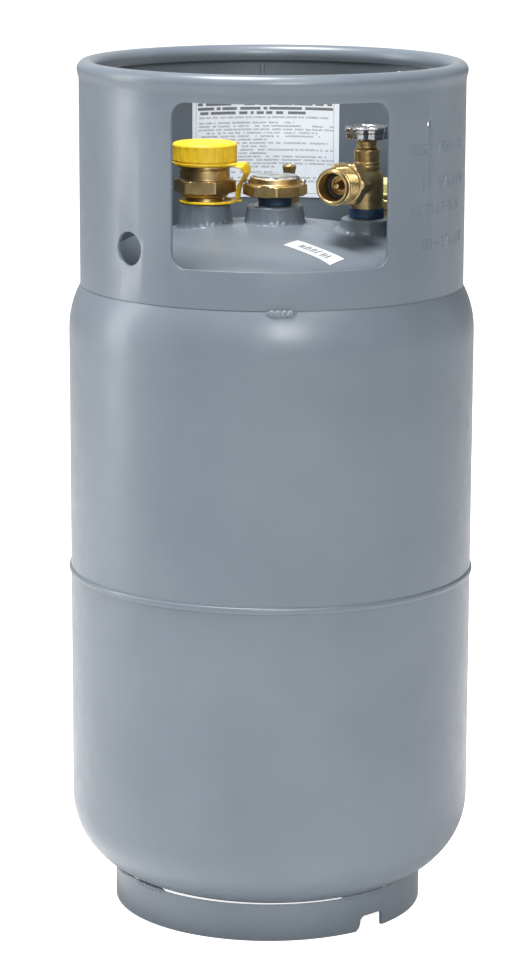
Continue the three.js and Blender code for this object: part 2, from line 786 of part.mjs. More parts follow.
// A cast wheel: a lobed rim, hollowed on top around the nut.
function handwheel() {
  const outline = new THREE.Shape();
  const steps = 6 * WHEEL.lobes;
  for (let i = 0; i < steps; i += 1) {
    const angle = (2 * Math.PI * i) / steps;
    const size = WHEEL.radius - WHEEL.lobeDepth * (0.5 - 0.5 * Math.cos(WHEEL.lobes * angle));
    const point = [size * Math.cos(angle), size * Math.sin(angle)];
    if (i === 0) outline.moveTo(...point);
    else outline.lineTo(...point);
  }
  const blank = new THREE.ExtrudeGeometry(outline, {
    depth: WHEEL.top - WHEEL.bottom,
    bevelEnabled: false,
  });
  blank.translate(0, 0, WHEEL.bottom);
  const pocket = ring(5.4, 12.4, WHEEL.bottom - 1, WHEEL.bottom + 4.4, 24);
  return solid(blank)
    .subtract(pocket)
    .subtract(rod(8.5, 613, 620, 24))
    .subtract(rod(3.3, 600, 620, 16));
}

addPiece(stations.service, 'service_valve_body', serviceValveBody(), FINISH.brass);
addPiece(stations.service, 'service_thread_sealant',
  ring(12.6, 13.3, SERVICE.bossTop + GAP, 554.8), FINISH.sealant);
addPiece(stations.service, 'service_bonnet', serviceBonnet(), FINISH.brass);
addPiece(stations.service, 'service_stem', rod(3, 576.4, 615.6, 16), FINISH.brass);
addPiece(stations.service, 'seat_disc', seatDisc(), FINISH.brass);
addPiece(stations.service, 'handwheel', handwheel(), FINISH.chrome);
addPiece(stations.service, 'handwheel_nut',
  prism(6, 5.6, 613 + GAP, 616.4).subtract(rod(3.3, 600, 620, 16)), FINISH.steel);

// The liquid tube ends close to the wall that lies lowest when the cylinder is on a truck.
function liquidTube() {
  const end = polar(138, LOCATING_HOLE.azimuth, 446);
  const route = [
    new THREE.Vector3(0, 0, 556),
    new THREE.Vector3(0, 0, 530),
    new THREE.Vector3(-4, -1.6, 506),
    new THREE.Vector3(-40, -15, 489),
    new THREE.Vector3(-110, -41.5, 466),
    new THREE.Vector3(end.x - SERVICE.x, end.y - SERVICE.y, end.z),
  ];
  return pipe(route, 6.6, 5.2, 15);
}

addPiece(stations.service, 'liquid_tube', liquidTube(), FINISH.steel);

// ---- quick coupler on the service valve -------------------------------------------------

const coupler = new THREE.Group();
coupler.position.set(0, 0, OUTLET.z);
coupler.rotation.set(Math.PI / 2, 0, rad(OUTLET.azimuth), 'ZXY');
stations.service.add(coupler);

function couplerBody() {
  const { hexFrom, hexTo, cavity, mouth, seatFrom, seatTo } = COUPLER;
  const barrel = turned([
    [0, hexFrom],
    [14, hexFrom],
    [14.6, hexTo],
    [14.6, OUTLET.length - 3],
    [15, OUTLET.length - 2.4],
    [15, OUTLET.length - 0.6],
    [14.4, OUTLET.length],
    [0, OUTLET.length],
  ]);
  return barrel
    .add(prism(6, 17.4, hexFrom, hexTo, 30))
    .subtract(rod(5.5, 0, 40, 20))
    .subtract(rod(8.6, cavity, seatFrom, 24))
    .subtract(rod(6.2, cavity + 2, 70, 24))
    .subtract(rod(mouth, seatTo, 70));
}

function couplerPoppet() {
  return turned([
    [0, 42],
    [7.6, 42],
    [7.6, COUPLER.seatFrom - GAP],
    [3, COUPLER.seatFrom - GAP],
    [2.6, 56],
    [1.6, 57],
    [0, 57],
  ], 16);
}

addPiece(coupler, 'coupler_body', couplerBody(), FINISH.brass);
addPiece(coupler, 'coupler_poppet', couplerPoppet(), FINISH.brass);
addPiece(coupler, 'coupler_spring',
  spring(6.9, 0.7, COUPLER.cavity + GAP, 42 - GAP, 3), FINISH.steel);
addPiece(coupler, 'coupler_seal',
  ring(7.2, COUPLER.mouth - GAP, COUPLER.seatTo + GAP, COUPLER.seatTo + 2.6), FINISH.rubber);

// ---- relief valve -----------------------------------------------------------------------

function reliefBody() {
  const spigot = RELIEF.bore - GAP;
  return turned([
    [5, 518],
    [spigot, 518],
    [spigot, 545],
    [13, 546],
    [13, 563],
    [7.6, 563],
    [7.6, 530],
    [5, 530],
  ]).add(prism(6, 16, 546, 554, 10).subtract(rod(11, 540, 560)));
}

function reliefPoppet() {
  const seat = 530 + GAP;
  return turned([[0, seat], [7, seat], [7, 533.6], [2, 534.4], [2, 554], [0, 554]], 20);
}

function reliefRetainer() {
  let plate = ring(2.5, 7.3, 556.6, 559, 16);
  for (let i = 0; i < 4; i += 1) {
    const at = polar(5, 90 * i);
    plate = plate.subtract(rod(1.2, 550, 560, 6).translate([at.x, at.y, 0]));
  }
  return plate;
}

function reliefCap() {
  return turned([
    [13 + GAP, 557],
    [14.6, 557],
    [14.6, 566.6],
    [13.2, 568.4],
    [0, 569],
    [0, 563 + GAP],
    [13 + GAP, 563 + GAP],
  ]);
}

addPiece(stations.relief, 'relief_valve_body', reliefBody(), FINISH.brass);
addPiece(stations.relief, 'relief_poppet', reliefPoppet(), FINISH.brass);
addPiece(stations.relief, 'relief_spring', spring(4.8, 0.8, 534.7, 556.3, 6), FINISH.steel);
addPiece(stations.relief, 'relief_retainer', reliefRetainer(), FINISH.brass);
addPiece(stations.relief, 'relief_cap', reliefCap(), FINISH.paleYellow);

// ---- bleeder valve ------------------------------------------------------------------------

function bleederBody() {
  const spigot = BLEEDER.bore - GAP;
  return turned([
    [2.2, 531],
    [spigot, 531],
    [spigot, 549],
    [5.6, 550],
    [5.6, 567],
    [4.8, 568],
    [2.2, 568],
  ], 20).add(prism(6, 9, 549, 556).subtract(rod(4, 540, 560, 12)));
}

function bleederScrew() {
  return turned([
    [0, 546],
    [1.8, 549],
    [1.8, 571],
    [4.4, 571.4],
    [5.6, 577.4],
    [4.8, 578.3],
    [0, 578.3],
  ], 20);
}

addPiece(stations.bleeder, 'bleeder_body', bleederBody(), FINISH.brass);
addPiece(stations.bleeder, 'bleeder_screw', bleederScrew(), FINISH.brass);
addPiece(stations.bleeder, 'bleeder_tube', ring(1.4, 3.2, 452, 531 - GAP, 12), FINISH.steel);

// ---- labels -------------------------------------------------------------------------------

function instructionLabel() {
  const { azimuth, halfAngle, bottomZ, topZ, thickness } = LABEL;
  const outer = COLLAR.radius - WALL - 2 * GAP;
  const inner = outer - thickness;
  const outline = [[inner, bottomZ], [outer, bottomZ], [outer, topZ], [inner, topZ]];
  return arcStrip(outline, azimuth - halfAngle, azimuth + halfAngle, 10);
}

function domeLabel() {
  const { x, y, length, width, turn, thickness } = DOME_LABEL;
  const layer = upperHeadFill(GAP + thickness).subtract(upperHeadFill(GAP));
  return layer.intersect(block([length, width, 60], [x, y, 530], turn));
}

addPiece(cylinder, 'instruction_label', instructionLabel(), FINISH.paper);
addPiece(cylinder, 'dome_label', domeLabel(), FINISH.paper);

export default cylinder;
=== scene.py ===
"""Looks of a lift-truck propane cylinder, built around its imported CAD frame.

Lengths in this file are millimetres, and they become metres where a mesh is made. Places
and main sizes come from the frame's boxes, so they follow the CAD part.
"""

import json
import math
import random

import bmesh
import bpy
from mathutils import Matrix, Vector, noise


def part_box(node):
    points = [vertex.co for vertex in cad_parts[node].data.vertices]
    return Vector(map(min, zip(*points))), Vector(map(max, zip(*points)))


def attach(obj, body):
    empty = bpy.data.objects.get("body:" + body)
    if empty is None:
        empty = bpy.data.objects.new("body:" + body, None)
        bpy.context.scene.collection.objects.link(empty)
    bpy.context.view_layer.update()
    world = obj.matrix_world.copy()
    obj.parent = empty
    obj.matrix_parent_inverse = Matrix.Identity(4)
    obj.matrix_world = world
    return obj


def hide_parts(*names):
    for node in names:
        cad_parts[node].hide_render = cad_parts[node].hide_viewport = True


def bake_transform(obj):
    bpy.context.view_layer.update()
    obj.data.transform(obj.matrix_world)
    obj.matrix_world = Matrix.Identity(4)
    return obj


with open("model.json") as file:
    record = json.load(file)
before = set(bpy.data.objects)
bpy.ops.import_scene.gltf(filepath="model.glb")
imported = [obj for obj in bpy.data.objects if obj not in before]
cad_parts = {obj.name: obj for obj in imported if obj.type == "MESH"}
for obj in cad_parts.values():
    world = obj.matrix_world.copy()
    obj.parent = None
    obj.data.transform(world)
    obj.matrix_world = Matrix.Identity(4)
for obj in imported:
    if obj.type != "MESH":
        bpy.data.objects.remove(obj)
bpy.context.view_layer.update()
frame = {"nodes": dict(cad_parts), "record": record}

MM = 0.001
TAU = 2 * math.pi


# ---- places from the frame ------------------------------------------------------------

def box(node):
    """A CAD node's lowest and highest corners, in millimetres."""
    low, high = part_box(node)
    return low / MM, high / MM


def axis_of(node):
    """Where a turned node's upright axis stands, in millimetres."""
    low, high = box(node)
    return (low.x + high.x) / 2, (low.y + high.y) / 2


def bottom(node):
    return box(node)[0].z


def top(node):
    return box(node)[1].z


VESSEL_RADIUS = box("upper_shell")[1].x
SEAM_Z = (bottom("seam_weld") + top("seam_weld")) / 2
SEAM_RADIUS = box("seam_weld")[1].x
COLLAR_TOP = top("collar")
ROLL_RADIUS = 7
ROLL_BULGE = 1.5
COLLAR_RADIUS = box("collar")[1].x - ROLL_BULGE
WALL = 3
FOOT_RADIUS = (box("foot_ring")[1].x - box("foot_ring")[0].x) / 2
FOOT_X = axis_of("foot_ring")[0]
FOOT_TOP = top("foot_ring")

FILL = axis_of("fill_cap")
GAUGE = axis_of("gauge_lens")
SERVICE = axis_of("service_bonnet")
RELIEF = axis_of("relief_cap")
BLEEDER = axis_of("bleeder_screw")

# Torispherical heads: the tangent line, and the knuckle's and crown's outside radii.
LOWER_HEAD = (87.2, 62, 341)
UPPER_HEAD = (459.5, 71, 409)


def head_height(head, radius, inset=0.0):
    """Height of a head's surface beyond its tangent line, at a radius from the axis."""
    _, knuckle, crown = head
    centre = VESSEL_RADIUS - knuckle
    apex = math.sqrt((crown - knuckle) ** 2 - centre ** 2)
    join = (crown - inset) * centre / (crown - knuckle)
    if radius < join:
        return math.sqrt((crown - inset) ** 2 - radius ** 2) - apex
    return math.sqrt(max((knuckle - inset) ** 2 - (radius - centre) ** 2, 0))


def dome_z(x, y, lift=0.0):
    """Height of the upper head's outside over a point."""
    return UPPER_HEAD[0] + head_height(UPPER_HEAD, math.hypot(x, y), -lift)


def head_profile(head, inset=0.0, knuckle_steps=22, crown_steps=26):
    """[radius, height] points from the tangent line to the axis."""
    _, knuckle, crown = head
    centre = VESSEL_RADIUS - knuckle
    join = math.asin(centre / (crown - knuckle))
    points = []
    for i in range(knuckle_steps + 1):
        angle = math.pi / 2 + (join - math.pi / 2) * i / knuckle_steps
        points.append((centre + (knuckle - inset) * math.sin(angle), (knuckle - inset) * math.cos(angle)))
    for i in range(1, crown_steps + 1):
        radius = (crown - inset) * math.sin(join * (1 - i / crown_steps))
        points.append((max(radius, 0.0), head_height(head, max(radius, 0.0), inset)))
    points[-1] = (0.0, points[-1][1])
    return points


# ---- mesh tools -----------------------------------------------------------------------

def polar(radius, azimuth, z=0.0):
    """A point at an azimuth in degrees: 0 is the front, -Y, and it grows towards +X."""
    angle = math.radians(azimuth)
    return Vector((radius * math.sin(angle), -radius * math.cos(angle), z))


def smooth_step(low, high, value):
    t = min(max((value - low) / (high - low), 0.0), 1.0)
    return t * t * (3 - 2 * t)


def finish_mesh(mesh, sharp=35):
    """Welds doubles, points the faces out and shades it smooth up to an angle."""
    bm = bmesh.new()
    bm.from_mesh(mesh)
    bmesh.ops.remove_doubles(bm, verts=bm.verts, dist=1e-7)
    bmesh.ops.dissolve_degenerate(bm, edges=bm.edges, dist=1e-8)
    bmesh.ops.recalc_face_normals(bm, faces=bm.faces)
    bm.to_mesh(mesh)
    bm.free()
    for polygon in mesh.polygons:
        polygon.use_smooth = True
    mesh.set_sharp_from_angle(angle=math.radians(sharp))
    return mesh


def finish_placed(mesh, finish, place, sharp=35, turn=0.0):
    """Turns a mesh on its own axis, moves it to its station and gives it its finish."""
    mesh.transform(Matrix.Rotation(math.radians(turn), 4, "Z"))
    mesh.transform(Matrix.Translation(Vector((place[0], place[1], 0)) * MM))
    finish_mesh(mesh, sharp)
    mesh.materials.clear()
    mesh.materials.append(finish)
    return mesh


def piece(name, mesh, finish, body="root", replaces=(), sharp=35, place=(0, 0), turn=0.0):
    """Puts a mesh in the scene as a named piece of the object."""
    mesh = finish_placed(mesh, finish, place, sharp, turn)
    obj = bpy.data.objects.new(name, mesh)
    bpy.context.scene.collection.objects.link(obj)
    if body is not None:
        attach(obj, body)
    if replaces:
        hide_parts(*([replaces] if isinstance(replaces, str) else replaces))
    return obj


def mesh_of(name, points, faces):
    mesh = bpy.data.meshes.new(name)
    mesh.from_pydata([tuple(Vector(p) * MM) for p in points], [], faces)
    mesh.validate()
    return mesh


def softened(profile, closed=False, steps=3):
    """Rounds the corners of an outline. A point is (r, z) or (r, z, corner radius)."""
    count = len(profile)
    result = []
    for i, point in enumerate(profile):
        here = Vector(point[:2])
        radius = point[2] if len(point) > 2 else 0
        if radius <= 0 or (not closed and i in (0, count - 1)):
            result.append(tuple(here))
            continue
        before = Vector(profile[i - 1][:2]) - here
        after = Vector(profile[(i + 1) % count][:2]) - here
        cut = min(radius, before.length * 0.45, after.length * 0.45)
        start = here + before.normalized() * cut
        end = here + after.normalized() * cut
        for k in range(steps + 1):
            t = k / steps
            result.append(tuple(start * (1 - t) ** 2 + here * 2 * t * (1 - t) + end * t * t))
    return result


def revolve(name, profile, segments=96, shape=None, closed=False, steps=3):
    """Turns an outline about the upright axis. shape(radius, z, angle) may move a point,
    and angle 0 is the front."""
    outline = softened(profile, closed, steps)
    points = []
    rings = []
    for radius, z in outline:
        if radius < 1e-6 and not closed:
            rings.append([len(points)])
            points.append((0, 0, z))
            continue
        ring = []
        for i in range(segments):
            angle = TAU * i / segments
            r, height = shape(radius, z, angle) if shape else (radius, z)
            ring.append(len(points))
            points.append((r * math.sin(angle), -r * math.cos(angle), height))
        rings.append(ring)
    faces = []
    pairs = list(zip(rings, rings[1:]))
    if closed:
        pairs.append((rings[-1], rings[0]))
    for low, high in pairs:
        for i in range(segments):
            j = (i + 1) % segments
            if len(low) == 1 and len(high) == 1:
                continue
            if len(low) == 1:
                faces.append((low[0], high[j], high[i]))
            elif len(high) == 1:
                faces.append((low[i], low[j], high[0]))
            else:
                faces.append((low[i], low[j], high[j], high[i]))
    return mesh_of(name, points, faces)


def spread(low, high, count):
    return [low + (high - low) * i / count for i in range(count + 1)]


def thread_rows(radius, low, high, pitch, per_turn=10):
    """The [r, z] rows of a threaded length, close enough together to show its turns."""
    count = max(2, int((high - low) / pitch * per_turn))
    return [(radius, z) for z in spread(low, high, count)]


def thread_shape(radius, depth, low, high, pitch):
    """A shape for revolve() that cuts one helical groove with flat crests and slanted flanks."""
    def shape(r, z, angle):
        if abs(r - radius) > 0.02 or not low <= z <= high:
            return r, z
        phase = ((z - low) / pitch - angle / TAU) % 1.0
        groove = smooth_step(0.18, 0.36, phase) * (1 - smooth_step(0.66, 0.84, phase))
        ends = smooth_step(low, low + pitch * 0.5, z) * (1 - smooth_step(high - pitch * 0.5, high, z))
        return r - depth * groove * ends, z
    return shape


def flats_shape(sides, corner_radius, low, high, azimuth=0.0):
    """A shape for revolve() that cuts flats, as on a hexagon nut, with a corner at azimuth."""
    flat = corner_radius * math.cos(math.pi / sides)
    step = TAU / sides

    def shape(r, z, angle):
        if not low - 1e-6 <= z <= high + 1e-6:
            return r, z
        off = (angle - math.radians(azimuth)) % step - step / 2
        return min(r, flat / math.cos(off)), z
    return shape


def chained(*shapes):
    def shape(r, z, angle):
        for one in shapes:
            r, z = one(r, z, angle)
        return r, z
    return shape


def joined(name, *meshes):
    """One mesh from several."""
    bm = bmesh.new()
    for mesh in meshes:
        bm.from_mesh(mesh)
    result = bpy.data.meshes.new(name)
    bm.to_mesh(result)
    bm.free()
    return result


def boolean(mesh, cutters, operation="DIFFERENCE"):
    """Cuts meshes out of a mesh, or joins them to it, and returns the result."""
    target = bpy.data.objects.new("boolean_target", mesh)
    bpy.context.scene.collection.objects.link(target)
    helpers = []
    for cutter in cutters:
        helper = bpy.data.objects.new("boolean_helper", cutter)
        bpy.context.scene.collection.objects.link(helper)
        modifier = target.modifiers.new("cut", "BOOLEAN")
        modifier.operation = operation
        modifier.solver = "EXACT"
        modifier.object = helper
        helpers.append(helper)
    result = applied(target)
    for helper in helpers:
        bpy.data.objects.remove(helper)
    bpy.data.objects.remove(target)
    return result


def applied(obj):
    """A copy of an object's mesh with its modifiers applied."""
    bpy.context.view_layer.update()
    graph = bpy.context.evaluated_depsgraph_get()
    return bpy.data.meshes.new_from_object(obj.evaluated_get(graph))


def remeshed(mesh, voxel, smoothing=6):
    """Melts overlapping shapes into one cast-looking skin."""
    obj = bpy.data.objects.new("remesh_target", mesh)
    bpy.context.scene.collection.objects.link(obj)
    modifier = obj.modifiers.new("skin", "REMESH")
    modifier.mode = "VOXEL"
    modifier.voxel_size = voxel * MM
    soft = obj.modifiers.new("soft", "SMOOTH")
    soft.iterations = smoothing
    soft.factor = 0.5
    result = applied(obj)
    bpy.data.objects.remove(obj)
    return result


def swept(name, route, section, closed=False, up=Vector((0, 0, 1)), end_up=None):
    """Sweeps a closed outline along points. section(t) gives the outline at a share of the
    way along, as (sideways, upwards) pairs. Upwards may turn from up to end_up on the way."""
    count = len(route)
    points = []
    width = len(section(0))
    for i, here in enumerate(route):
        before = route[i - 1] if i > 0 or closed else here
        after = route[(i + 1) % count] if i < count - 1 or closed else here
        along = (after - before).normalized()
        share = i / max(count - 1, 1)
        side = along.cross(up.lerp(end_up, share) if end_up else up).normalized()
        over = side.cross(along).normalized()
        for a, b in section(share):
            points.append(here + side * a + over * b)
    faces = []
    for i in range(count if closed else count - 1):
        for j in range(width):
            k = (j + 1) % width
            n = (i + 1) % count
            faces.append((i * width + j, i * width + k, n * width + k, n * width + j))
    if not closed:
        faces.append(tuple(reversed(range(width))))
        faces.append(tuple((count - 1) * width + j for j in range(width)))
    return mesh_of(name, points, faces)


def curve_through(points, steps):
    """Evenly numbered points on a Catmull-Rom curve through a few."""
    result = []
    last = len(points) - 1
    for i in range(last):
        a = points[max(i - 1, 0)]
        b, c = points[i], points[i + 1]
        d = points[min(i + 2, last)]
        for k in range(steps):
            t = k / steps
            result.append(0.5 * ((2 * b) + (c - a) * t + (2 * a - 5 * b + 4 * c - d) * t * t
                                 + (3 * b - a - 3 * c + d) * t ** 3))
    result.append(points[-1].copy())
    return result


def oval(half_width, half_height, count=16, squareness=1.0):
    """A rounded outline: squareness 1 is an ellipse, and less is boxier."""
    outline = []
    for i in range(count):
        angle = TAU * i / count
        c, s = math.cos(angle), math.sin(angle)
        outline.append((half_width * math.copysign(abs(c) ** squareness, c),
                        half_height * math.copysign(abs(s) ** squareness, s)))
    return outline


def coil(name, radius, wire, low, high, turns):
    """A compression spring with closed ends."""
    steps = 22 * turns
    route = []
    for i in range(steps + 1):
        t = i / steps
        ease = t * (1 - 0.25) + 0.25 * smooth_step(0.0, 1.0, t)
        z = low + wire + (high - low - 2 * wire) * ease
        angle = TAU * turns * t
        route.append(Vector((radius * math.cos(angle), radius * math.sin(angle), z)))
    return swept(name, route, lambda t: oval(wire, wire, 8))


# ---- materials ------------------------------------------------------------------------

def srgb(red, green, blue):
    """Linear colour from 0 to 255 display values."""
    def linear(value):
        value /= 255
        return value / 12.92 if value <= 0.04045 else ((value + 0.055) / 1.055) ** 2.4
    return (linear(red), linear(green), linear(blue), 1.0)


class Finish:
    """A Principled material with object-space noise to drive its colour, gloss and bumps."""

    def __init__(self, name, **values):
        self.material = bpy.data.materials.new(name)
        self.material.use_nodes = True
        self.tree = self.material.node_tree
        self.shader = self.tree.nodes["Principled BSDF"]
        for key, value in values.items():
            self.shader.inputs[key.replace("_", " ")].default_value = value
        self.coordinates = self.tree.nodes.new("ShaderNodeTexCoord").outputs["Object"]

    def link(self, source, target):
        self.tree.links.new(source, target)

    def noise(self, scale, detail=3.0, roughness=0.55, stretch=None):
        """Noise between 0 and 1. Scale counts features per metre."""
        node = self.tree.nodes.new("ShaderNodeTexNoise")
        node.inputs["Scale"].default_value = scale
        node.inputs["Detail"].default_value = detail
        node.inputs["Roughness"].default_value = roughness
        source = self.coordinates
        if stretch:
            mapping = self.tree.nodes.new("ShaderNodeMapping")
            mapping.inputs["Scale"].default_value = stretch
            self.link(self.coordinates, mapping.inputs["Vector"])
            source = mapping.outputs["Vector"]
        self.link(source, node.inputs["Vector"])
        return node.outputs["Fac"]

    def ramp(self, source, low, high, start, end):
        """Blends from start to end as the source goes from low to high."""
        node = self.tree.nodes.new("ShaderNodeValToRGB")
        node.color_ramp.elements[0].position = low
        node.color_ramp.elements[1].position = high
        node.color_ramp.elements[0].color = start
        node.color_ramp.elements[1].color = end
        self.link(source, node.inputs["Fac"])
        return node.outputs["Color"]

    def grey_ramp(self, source, low, high, start, end):
        return self.ramp(source, low, high, (start, start, start, 1), (end, end, end, 1))

    def mix(self, share, first, second, mode="MIX"):
        node = self.tree.nodes.new("ShaderNodeMix")
        node.data_type = "RGBA"
        node.blend_type = mode
        for value, socket in ((share, node.inputs[0]), (first, node.inputs[6]), (second, node.inputs[7])):
            if isinstance(value, bpy.types.NodeSocket):
                self.link(value, socket)
            else:
                socket.default_value = value
        return node.outputs[2]

    def bump(self, *layers):
        """Bumps from (height source, distance in millimetres, strength) layers."""
        previous = None
        for source, distance, strength in layers:
            node = self.tree.nodes.new("ShaderNodeBump")
            node.inputs["Distance"].default_value = distance * MM
            node.inputs["Strength"].default_value = strength
            self.link(source, node.inputs["Height"])
            if previous is not None:
                self.link(previous, node.inputs["Normal"])
            previous = node.outputs["Normal"]
        self.link(previous, self.shader.inputs["Normal"])

    def colour(self, source):
        self.link(source, self.shader.inputs["Base Color"])

    def gloss(self, source):
        self.link(source, self.shader.inputs["Roughness"])


def painted_steel():
    """Blue-grey powder coat with orange peel, faint mottling and specks of dust."""
    f = Finish("painted_steel", Metallic=0.0, Coat_Weight=0.15, Coat_Roughness=0.22)
    base, deep, pale = srgb(97, 106, 115), srgb(90, 99, 108), srgb(103, 112, 120)
    mottled = f.ramp(f.noise(9, 4), 0.35, 0.65, deep, pale)
    streaked = f.mix(0.45, mottled, base)
    dust = f.ramp(f.noise(900, 2, 0.8), 0.70, 0.78, (0, 0, 0, 1), (1, 1, 1, 1))
    f.colour(f.mix(f.mix(0.85, dust, (0, 0, 0, 1)), streaked, srgb(160, 166, 171)))
    f.gloss(f.grey_ramp(f.noise(60, 5), 0.3, 0.7, 0.33, 0.42))
    f.bump((f.noise(14, 2), 0.5, 0.10), (f.noise(330, 2, 0.45), 0.05, 0.55), (f.noise(1600, 2), 0.01, 0.4))
    return f.material


def forged_brass(name="forged_brass", turned=False):
    """Brass with tarnish in patches, and either a turned or a cast surface."""
    f = Finish(name, Metallic=1.0)
    bright, warm, dull = srgb(198, 174, 126), srgb(182, 156, 106), srgb(146, 122, 80)
    patch = f.ramp(f.noise(120, 5, 0.6), 0.38, 0.62, warm, bright)
    f.colour(f.mix(f.grey_ramp(f.noise(420, 4, 0.7), 0.62, 0.82, 0.0, 0.35), patch, dull))
    f.gloss(f.grey_ramp(f.noise(300, 4), 0.3, 0.7, 0.30, 0.42))
    if turned:
        f.bump((f.noise(1.0, 2, 0.5, (60, 60, 5200)), 0.02, 0.5), (f.noise(1500, 2), 0.01, 0.4))
    else:
        f.bump((f.noise(700, 3, 0.6), 0.025, 0.5), (f.noise(2600, 2), 0.015, 0.5))
    return f.material


def plain_metal(name, colour, roughness, metallic=1.0):
    """Plated or drawn steel, with fine scratches that vary its gloss."""
    f = Finish(name, Metallic=metallic)
    pale = tuple(min(c * 1.12, 1.0) for c in colour[:3]) + (1.0,)
    f.colour(f.ramp(f.noise(150, 4), 0.35, 0.65, colour, pale))
    f.gloss(f.grey_ramp(f.noise(400, 4, 0.7), 0.3, 0.7, roughness * 0.75, roughness * 1.35))
    f.bump((f.noise(1.0, 3, 0.6, (900, 900, 4200)), 0.01, 0.4))
    return f.material


def moulded_plastic(name, colour, roughness=0.42, glow=0.0):
    """Moulded plastic: a fine grain, and a little light through thin walls."""
    f = Finish(name, Metallic=0.0)
    f.shader.inputs["Subsurface Weight"].default_value = glow
    f.shader.inputs["Subsurface Radius"].default_value = (0.004, 0.002, 0.0006)
    deep = tuple(c * 0.86 for c in colour[:3]) + (1.0,)
    f.colour(f.ramp(f.noise(90, 4), 0.3, 0.7, deep, colour))
    f.gloss(f.grey_ramp(f.noise(500, 3), 0.3, 0.7, roughness * 0.85, roughness * 1.2))
    f.bump((f.noise(1200, 3), 0.03, 0.35))
    return f.material


def dried_sealant():
    """Lumpy blue thread sealant, darker and lighter in patches."""
    f = Finish("blue_sealant", Metallic=0.0)
    f.colour(f.ramp(f.noise(260, 5, 0.7), 0.35, 0.65, srgb(20, 32, 46), srgb(34, 74, 112)))
    f.gloss(f.grey_ramp(f.noise(500, 3), 0.3, 0.7, 0.35, 0.6))
    f.bump((f.noise(520, 4, 0.6), 0.3, 0.9))
    return f.material


def clear_plastic():
    f = Finish("clear_lens", Metallic=0.0)
    f.shader.inputs["Transmission Weight"].default_value = 1.0
    f.shader.inputs["IOR"].default_value = 1.22
    f.colour(f.ramp(f.noise(60, 2), 0.4, 0.6, srgb(246, 249, 250), srgb(252, 253, 253)))
    f.gloss(f.grey_ramp(f.noise(350, 3), 0.3, 0.7, 0.02, 0.07))
    f.bump((f.noise(90, 2), 0.03, 0.2))
    return f.material


PAINT = painted_steel()
CAST_BRASS = forged_brass("forged_brass")
TURNED_BRASS = forged_brass("turned_brass", turned=True)
STEEL = plain_metal("bright_steel", srgb(176, 178, 180), 0.32)
CHROME = plain_metal("chrome_zinc", srgb(168, 171, 176), 0.27)
ALUMINIUM = plain_metal("aluminium_tube", srgb(196, 198, 200), 0.4)
YELLOW = moulded_plastic("yellow_plastic", srgb(244, 203, 40), 0.4, 0.12)
PALE_YELLOW = moulded_plastic("pale_yellow_plastic", srgb(236, 232, 150), 0.45, 0.12)
WHITE_PLASTIC = moulded_plastic("white_plastic", srgb(232, 232, 228), 0.3)
BLACK_PLASTIC = moulded_plastic("black_plastic", srgb(34, 35, 37), 0.45)
RED_PAINT = moulded_plastic("red_pointer", srgb(190, 40, 30), 0.45)
RUBBER = moulded_plastic("black_rubber", srgb(28, 28, 29), 0.7)
FOAM = moulded_plastic("float_foam", srgb(46, 46, 48), 0.9)
SEALANT = dried_sealant()
LENS = clear_plastic()


# ---- vessel ---------------------------------------------------------------------------

def vessel():
    inner_lip = VESSEL_RADIUS - 2 * WALL - 0.3
    shoulder = SEAM_Z - 2.2
    low_out = [(r, LOWER_HEAD[0] - h) for r, h in head_profile(LOWER_HEAD)]
    low_in = [(r, LOWER_HEAD[0] - h) for r, h in head_profile(LOWER_HEAD, WALL, 10, 10)]
    lower = (list(reversed(low_out))
             + [(VESSEL_RADIUS, z) for z in spread(100, shoulder - 1, 8)]
             + [(VESSEL_RADIUS, shoulder, 0.6), (inner_lip + WALL, shoulder), (inner_lip + WALL, SEAM_Z + 13, 1),
                (inner_lip, SEAM_Z + 14, 0.6), (inner_lip, shoulder - 6, 3), (VESSEL_RADIUS - WALL, shoulder - 13, 3)]
             + low_in)
    up_out = [(r, UPPER_HEAD[0] + h) for r, h in head_profile(UPPER_HEAD)]
    up_in = [(r, UPPER_HEAD[0] + h) for r, h in head_profile(UPPER_HEAD, WALL, 10, 10)]
    edge = SEAM_Z + 2.2
    upper = (list(reversed(up_in))
             + [(VESSEL_RADIUS - WALL, edge), (VESSEL_RADIUS, edge, 0.6)]
             + [(VESSEL_RADIUS, z) for z in spread(edge + 2, 450, 8)]
             + up_out)
    piece("lower_shell_skin", revolve("lower_shell_skin", lower, 160), PAINT, replaces="lower_shell")
    shell = revolve("upper_shell_skin", upper, 160)
    drills = []
    for (x, y), size in ((FILL, 19.6), (GAUGE, 16.2), (SERVICE, 16.9), (RELIEF, 14.9), (BLEEDER, 10.6)):
        drill = revolve("drill", [(0, 480), (size, 480), (size, 560), (0, 560)], 40)
        drill.transform(Matrix.Translation(Vector((x, y, 0)) * MM))
        drills.append(drill)
    piece("upper_shell_skin", boolean(shell, drills), PAINT, replaces="upper_shell")


